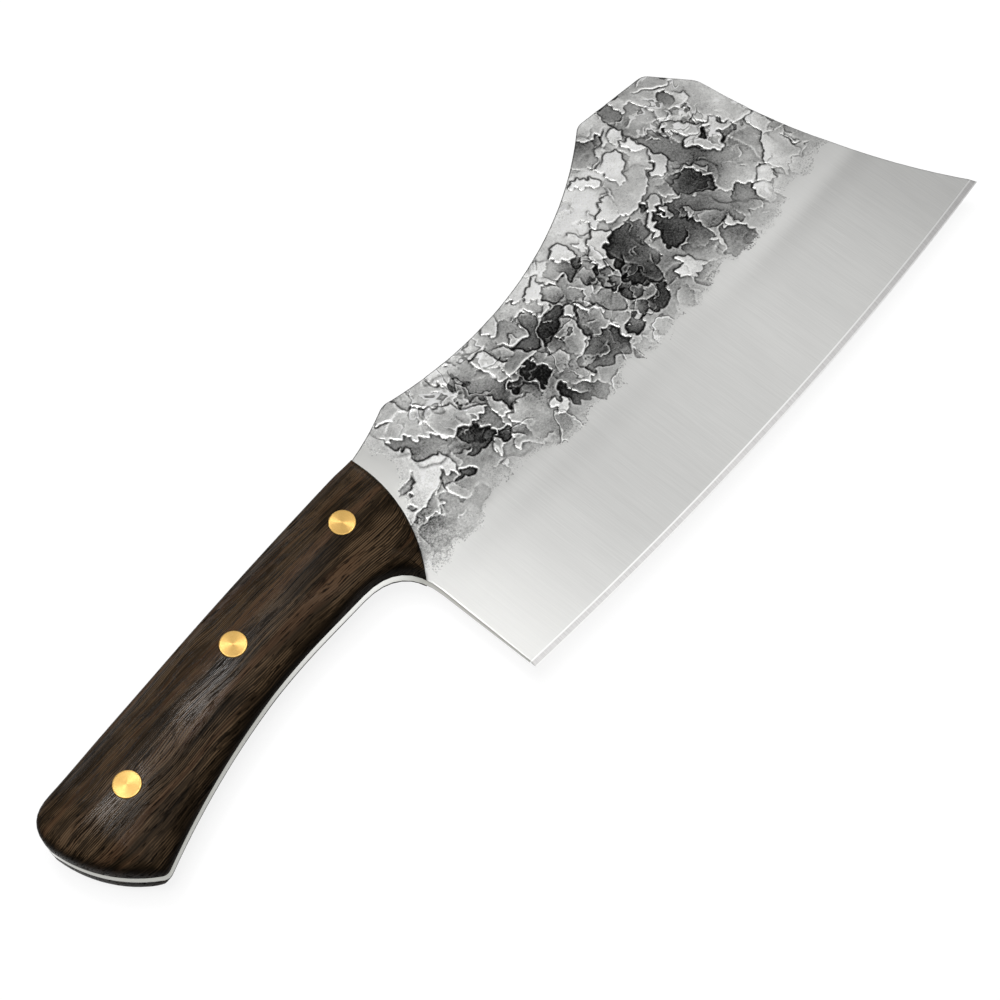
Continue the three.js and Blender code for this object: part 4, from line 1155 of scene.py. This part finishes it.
def steel_material():
    """Satin ground steel that turns into hammer scale, with a brighter sharpened bevel. along is x in
    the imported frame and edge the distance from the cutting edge, both in mm."""
    material, n = material_nodes("forged_steel")
    forged, shade, edge, wall = (n.attribute(name) for name in ("forged", "shade", "edge", "wall"))
    spot = n.millimetres()
    along = n.axis(spot, 0)

    # Hammer scale: stippled, with dark grains in clusters, at the ricasso and at its border
    stipple = n.noise(spot, 1.5, 4, 0.85)
    clusters = n.between(n.noise(spot, 0.22, 3, 0.6), 0.46, 0.62)
    clusters = n.larger(clusters, n.between(along, -35, -25, 0.9, 0))
    clusters = n.larger(clusters, n.between(forged, 0.6, 1, 0.9, 0))
    grains = clusters * n.between(n.noise(spot, 2.2, 2, 0.6), 0.55, 0.66)
    border = n.between(forged, 0, 0.3) * (1 - forged)
    dust = border * (6 * n.noise(spot, 2.2, 3, 0.7) - 3)
    forged = n.between(forged + dust, 0.2, 0.6)
    uneven = (stipple - 0.5) * n.between(shade, 0.5, 0.85, 0.95, 0.5) * n.between(along, -30, -18, 1.9, 1)
    lips = torn_lips(n, spot, 0.11) * n.between(along, -22, -8)
    grey = shade + uneven - grains * n.between(shade, 0.4, 0.9, 0.28, 0.12) + lips
    grey = n.math("POWER", n.larger(grey, 0.08), SCALE_GAMMA)
    scale_colour = n.value("ShaderNodeCombineColor", {0: grey, 1: grey, 2: 0.98 * grey})

    # Satin grind: lines across the blade, with painted shade in bands below the scale and a painted sheen at
    # the heel
    fine_lines = n.noise(n.millimetres(6, 0.09, 0.5))
    streak = n.blend(0.5, n.noise(n.millimetres(2.6, 0.04, 0.3), 1, 3, 0.65), fine_lines)
    satin = n.ramp(streak, SATIN)
    clouds = n.noise(n.millimetres(0.05, 0.03, 0.05))
    satin = n.mix(n.between(clouds, 0.35, 0.65, 0, 0.2), satin, CLOUDED_STEEL)
    # Painted shade: darker bands along the hollow of the grind below the scale, one of them towards the tip
    hollow_shade = n.between(edge, 26, 33) * n.between(edge, 33, 38, 1, 0) * n.between(along, 10, 70, 0.12, 0.04)
    satin = n.mix(hollow_shade, satin, HOLLOW_SHADE_PAINT)
    towards_tip = n.between(along, 60, 110)
    band_shade = n.between(edge, 24, 31) * n.between(edge, 31, 35, 0.13, 0)
    satin = n.mix(band_shade * towards_tip, satin, HOLLOW_SHADE_PAINT)
    # Painted sheen: lighter along the top of the grind towards the tip
    satin = n.mix(n.between(edge, 32, 37, 0, 0.6) * towards_tip, satin, GRIND_SHEEN_PAINT)
    # Painted sheen: the satin lighter towards the heel
    satin = n.mix(n.between(along, -42, 5, 0.5, 0), satin, HEEL_SHEEN_PAINT)
    # Painted shade: the tang's upright walls darker than its rounded rims
    satin = n.mix(wall, satin, WALL_SHADE_PAINT)
    ricasso = n.between(along, -30, -16, 1, 0) * n.between(edge, 36, 46)
    satin = n.mix(ricasso, satin, RICASSO_STEEL)

    # Bevel, with a glint along both of its borders
    on_bevel = n.between(edge, BEVEL_WIDTH - 0.06, BEVEL_WIDTH + 0.02, 1, 0)
    upper_glint = n.between(edge, BEVEL_WIDTH - 0.5, BEVEL_WIDTH - 0.35)
    glints = n.larger(upper_glint, n.between(edge, 0.25, 0.4, 1, 0))
    bevel = n.mix(glints, n.ramp(fine_lines, BEVEL), GLINTING_STEEL)

    colour = n.mix(on_bevel, n.mix(forged, satin, scale_colour), bevel)
    satin_roughness = n.blend(streak, *SATIN_ROUGHNESS)
    roughness = n.blend(forged, satin_roughness, n.blend(stipple, *SCALE_ROUGHNESS))
    roughness = n.blend(on_bevel, roughness, BEVEL_ROUGHNESS)
    height = n.blend(forged, 0.5 * streak, 0.5 * lips + stipple)
    inputs = {"Base Color": colour, "Roughness": roughness, "Metallic": 1.0}
    n.surface("ShaderNodeBsdfPrincipled", inputs | {"Normal": n.bump(height, *STEEL_BUMP)})
    return material


def wood_material():
    """Oiled wenge, nearly quarter sawn: layers stand along the handle, finer towards its back, with
    open pores between them."""
    material, n = material_nodes("wenge")
    spot = n.millimetres()
    x, y, z = (n.axis(spot, number) for number in range(3))
    waver = n.noise(n.millimetres(0.011, 0.03, 0.03))
    ripple = n.noise(n.millimetres(0.06, 0.12, 0.12))
    depth = 0.35 * z + y + (16 * waver - 8) + (1.6 * ripple - 0.8)
    # Layers per mm rise from the belly of the handle to its back
    layer = depth * (0.013 * depth + 1.0)
    length = 0.022 * x

    def streaks(along, across, deep, detail):
        place = n.value("ShaderNodeCombineXYZ", {0: length * along, 1: layer * across, 2: z * deep})
        return n.noise(place, 1, detail, 0.6)

    fine = streaks(1, 1.5, 0.05, 3)
    broad = streaks(0.6, 0.28, 0.02, 2)
    lines = 0.5 * n.math("SINE", 3.5 * fine + 10.5 * layer) + 0.5
    pores = n.between(streaks(9, 2.2, 0.6, 2), 0.56, 0.62)
    patches = n.between(n.noise(n.millimetres(0.05, 0.16, 0.16), 1, 3, 0.6), 0.4, 0.62)
    tone = 0.56 * fine + 0.02 + 0.36 * broad + lines * n.between(patches, 0, 1, 0.17, 0.04)
    colour = n.mix(n.between(broad, 0.52, 0.66, 0, 0.45), n.ramp(tone, WOOD), RED_WOOD)
    colour = n.mix(0.85 * pores, colour, WOOD_PORE)
    height = 0.3 * (lines + fine) - pores
    roughness = n.blend(pores, n.blend(fine, *WOOD_ROUGHNESS), PORE_ROUGHNESS)
    # The sides are left duller than the top, which is buffed most behind its middle, and get painted shade
    # that makes them darker
    upright = n.math("ABSOLUTE", n.axis(n.value("ShaderNodeNewGeometry", output="Normal"), 2))
    towards_back = y - (0.1 * x + 17.7)
    buffed = n.between(x, -62, -46, 0.34, 0.09) * n.between(x, -145, -137, 0.12, 1)
    buffed = buffed * n.between(towards_back, -6, 1, 0.2, 1)
    polish = n.between(upright, 0.7, 0.95, 0.004, buffed)
    colour = n.mix(n.between(upright, 0.3, 0.82, 0.66, 0), colour, SHADED_WOOD)
    inputs = {"Base Color": colour, "Roughness": roughness, "Specular IOR Level": polish}
    n.surface("ShaderNodeBsdfPrincipled", inputs | {"Normal": n.bump(height, *WOOD_BUMP)})
    return material


def brass_material():
    """Turned brass: its fine circular marks spread the light in fans."""
    material, n = material_nodes("brass")
    marks = n.noise(n.millimetres(3, 3, 3), 1, 3, 0.6)
    tangent = n.value("ShaderNodeTangent", direction_type="RADIAL", axis="Z")
    inputs = {"Base Color": n.ramp(marks, BRASS), "Roughness": n.blend(marks, *BRASS_ROUGHNESS)}
    inputs |= {"Metallic": 0.6, "Anisotropic": 0.88, "Tangent": tangent}
    n.surface("ShaderNodeBsdfPrincipled", inputs)
    return material


# Pieces

steel = steel_material()
wood = wood_material()
brass = brass_material()
blade_piece(steel)
scale_piece("right_handle_scale", "right_scale", 1, wood)
scale_piece("left_handle_scale", "left_scale", -1, wood)
for label, centre in (("front", FRONT), ("middle", MIDDLE), ("rear", REAR)):
    rivet_pieces(label, centre, brass)

# Stage, light and camera, m

WHITE = (1, 1, 1, 1)
FLOOR_HALF = 4
FLOOR_GLOW = 0.85
FLOOR_GREY = (0.2, 0.2, 0.2, 1)
WORLD_LIGHT = 0.3  # 1 where it is seen
LOOK_AT = Vector((-0.01207, -0.00994, 0.01065))
NEAR = Vector((-0.7605, -0.6493, 0))  # level direction from the knife to the camera
LEFT = Vector((NEAR.y, -NEAR.x, 0))  # level direction to the left in the picture
CAMERA_DISTANCE = 0.5
CAMERA_ELEVATION = math.radians(63)
SENSOR = 36
LENS = 69.3
# How white the card is at heights up its radius, beyond the knife and on the camera's side
CARD_RADIUS = 0.9
FAR_SHADES = [(0.0, 0.08), (0.34, 0.14), (0.64, 0.4), (0.73, 0.6), (0.77, 0.9), (0.80, 1.5), (0.83, 1.75),
              (0.855, 0.95), (0.875, 0.45), (0.9, 0.4), (0.92, 0.85), (0.935, 1.4)]
NEAR_SHADES = [(0.0, 0.08), (0.45, 0.15), (0.7, 0.9), (0.85, 1.1)]
DARK_CARD = (0.06, 0.06, 0.06, 1)


def seen(n):
    """1 for rays of the camera, reflections and transmission, else 0."""
    kinds = ("Camera", "Glossy", "Transmission")
    camera, glossy, through = (n.value("ShaderNodeLightPath", output=f"Is {kind} Ray") for kind in kinds)
    return n.larger(camera, n.larger(glossy, through))


def make_floor():
    corners = [(FLOOR_HALF * x, FLOOR_HALF * y, 0) for x, y in ((-1, -1), (1, -1), (1, 1), (-1, 1))]
    floor = add_object("floor", corners, [(0, 1, 2, 3)])
    material, n = material_nodes("pale_floor")
    glow = n.value("ShaderNodeEmission", {"Color": WHITE, "Strength": FLOOR_GLOW * seen(n)})
    matte = n.value("ShaderNodeBsdfDiffuse", {"Color": FLOOR_GREY})
    n.surface("ShaderNodeAddShader", {0: glow, 1: matte})
    floor.data.materials.append(material)


def make_card():
    """A tent of card round the knife that only reflections see: dark low down, white above."""
    turns = np.radians(range(0, 360, 10))
    heights = np.radians(range(0, 86, 5))
    points = []
    for height in heights:
        across = CARD_RADIUS * math.cos(height)
        up = CARD_RADIUS * math.sin(height)
        points += [(across * math.cos(turn), across * math.sin(turn), up) for turn in turns]
    row = len(turns)
    faces = []
    for low in range(0, row * (len(heights) - 1), row):
        faces += band(low, low + row, row)
    card = add_object("card", points, faces)
    material, n = material_nodes("grading_card")
    scaled = {0: n.spot(), "Scale": 1 / CARD_RADIUS}
    spot = n.value("ShaderNodeVectorMath", scaled, operation="SCALE")
    beyond, aside = (
        n.value("ShaderNodeVectorMath", {0: spot, 1: way}, 1, operation="DOT_PRODUCT")
        for way in (-NEAR, LEFT)
    )
    far_grey, near_grey = (
        n.ramp(n.axis(spot, 2), [(at, (v, v, v)) for at, v in shades]) for shades in (FAR_SHADES, NEAR_SHADES)
    )
    grey = n.mix(n.between(beyond, 0.15, 0.45), near_grey, far_grey)
    behind_handle = n.between(aside, 0.04, 0.12) * n.between(beyond, 0, 0.2)
    n.surface("ShaderNodeEmission", {"Color": n.mix(behind_handle, grey, DARK_CARD)})
    card.data.materials.append(material)
    card.visible_camera = False
    card.visible_diffuse = False
    card.visible_shadow = False


def place_object(name, data, place, way):
    """A lamp or camera that looks along a way."""
    holder = bpy.data.objects.new(name, data)
    holder.location = place
    holder.rotation_mode = "QUATERNION"
    holder.rotation_quaternion = way.to_track_quat("-Z", "Y")
    bpy.context.scene.collection.objects.link(holder)
    return holder


def make_lamp(name, size, power, place, mirrored):
    lamp = bpy.data.lights.new(name, "AREA")
    lamp.shape = "DISK"
    lamp.size = size
    lamp.energy = power
    place_object(name, lamp, place, LOOK_AT - Vector(place)).visible_glossy = mirrored


def make_world():
    world = bpy.data.worlds.new("studio")
    world.use_nodes = True
    bpy.context.scene.world = world
    n = Nodes(world.node_tree)
    strength = n.blend(seen(n), WORLD_LIGHT, 1.0)
    background = n.value("ShaderNodeBackground", {"Color": WHITE, "Strength": strength})
    n.value("ShaderNodeOutputWorld", {"Surface": background})


def make_camera():
    back = NEAR * math.cos(CAMERA_ELEVATION) + Vector((0, 0, math.sin(CAMERA_ELEVATION)))
    camera = bpy.data.cameras.new("camera")
    camera.sensor_width = SENSOR
    camera.lens = LENS
    camera.clip_start = 0.01
    place = LOOK_AT + back * CAMERA_DISTANCE
    bpy.context.scene.camera = place_object("camera", camera, place, -back)


make_floor()
make_card()
make_lamp("overhead", size=0.8, power=10, place=(-0.1, 0.05, 1.3), mirrored=False)
make_lamp("softbox", size=0.11, power=0.8, place=(-0.033, 0.181, 0.785), mirrored=True)
make_world()
make_camera()
bpy.context.scene.view_settings.view_transform = "Standard"
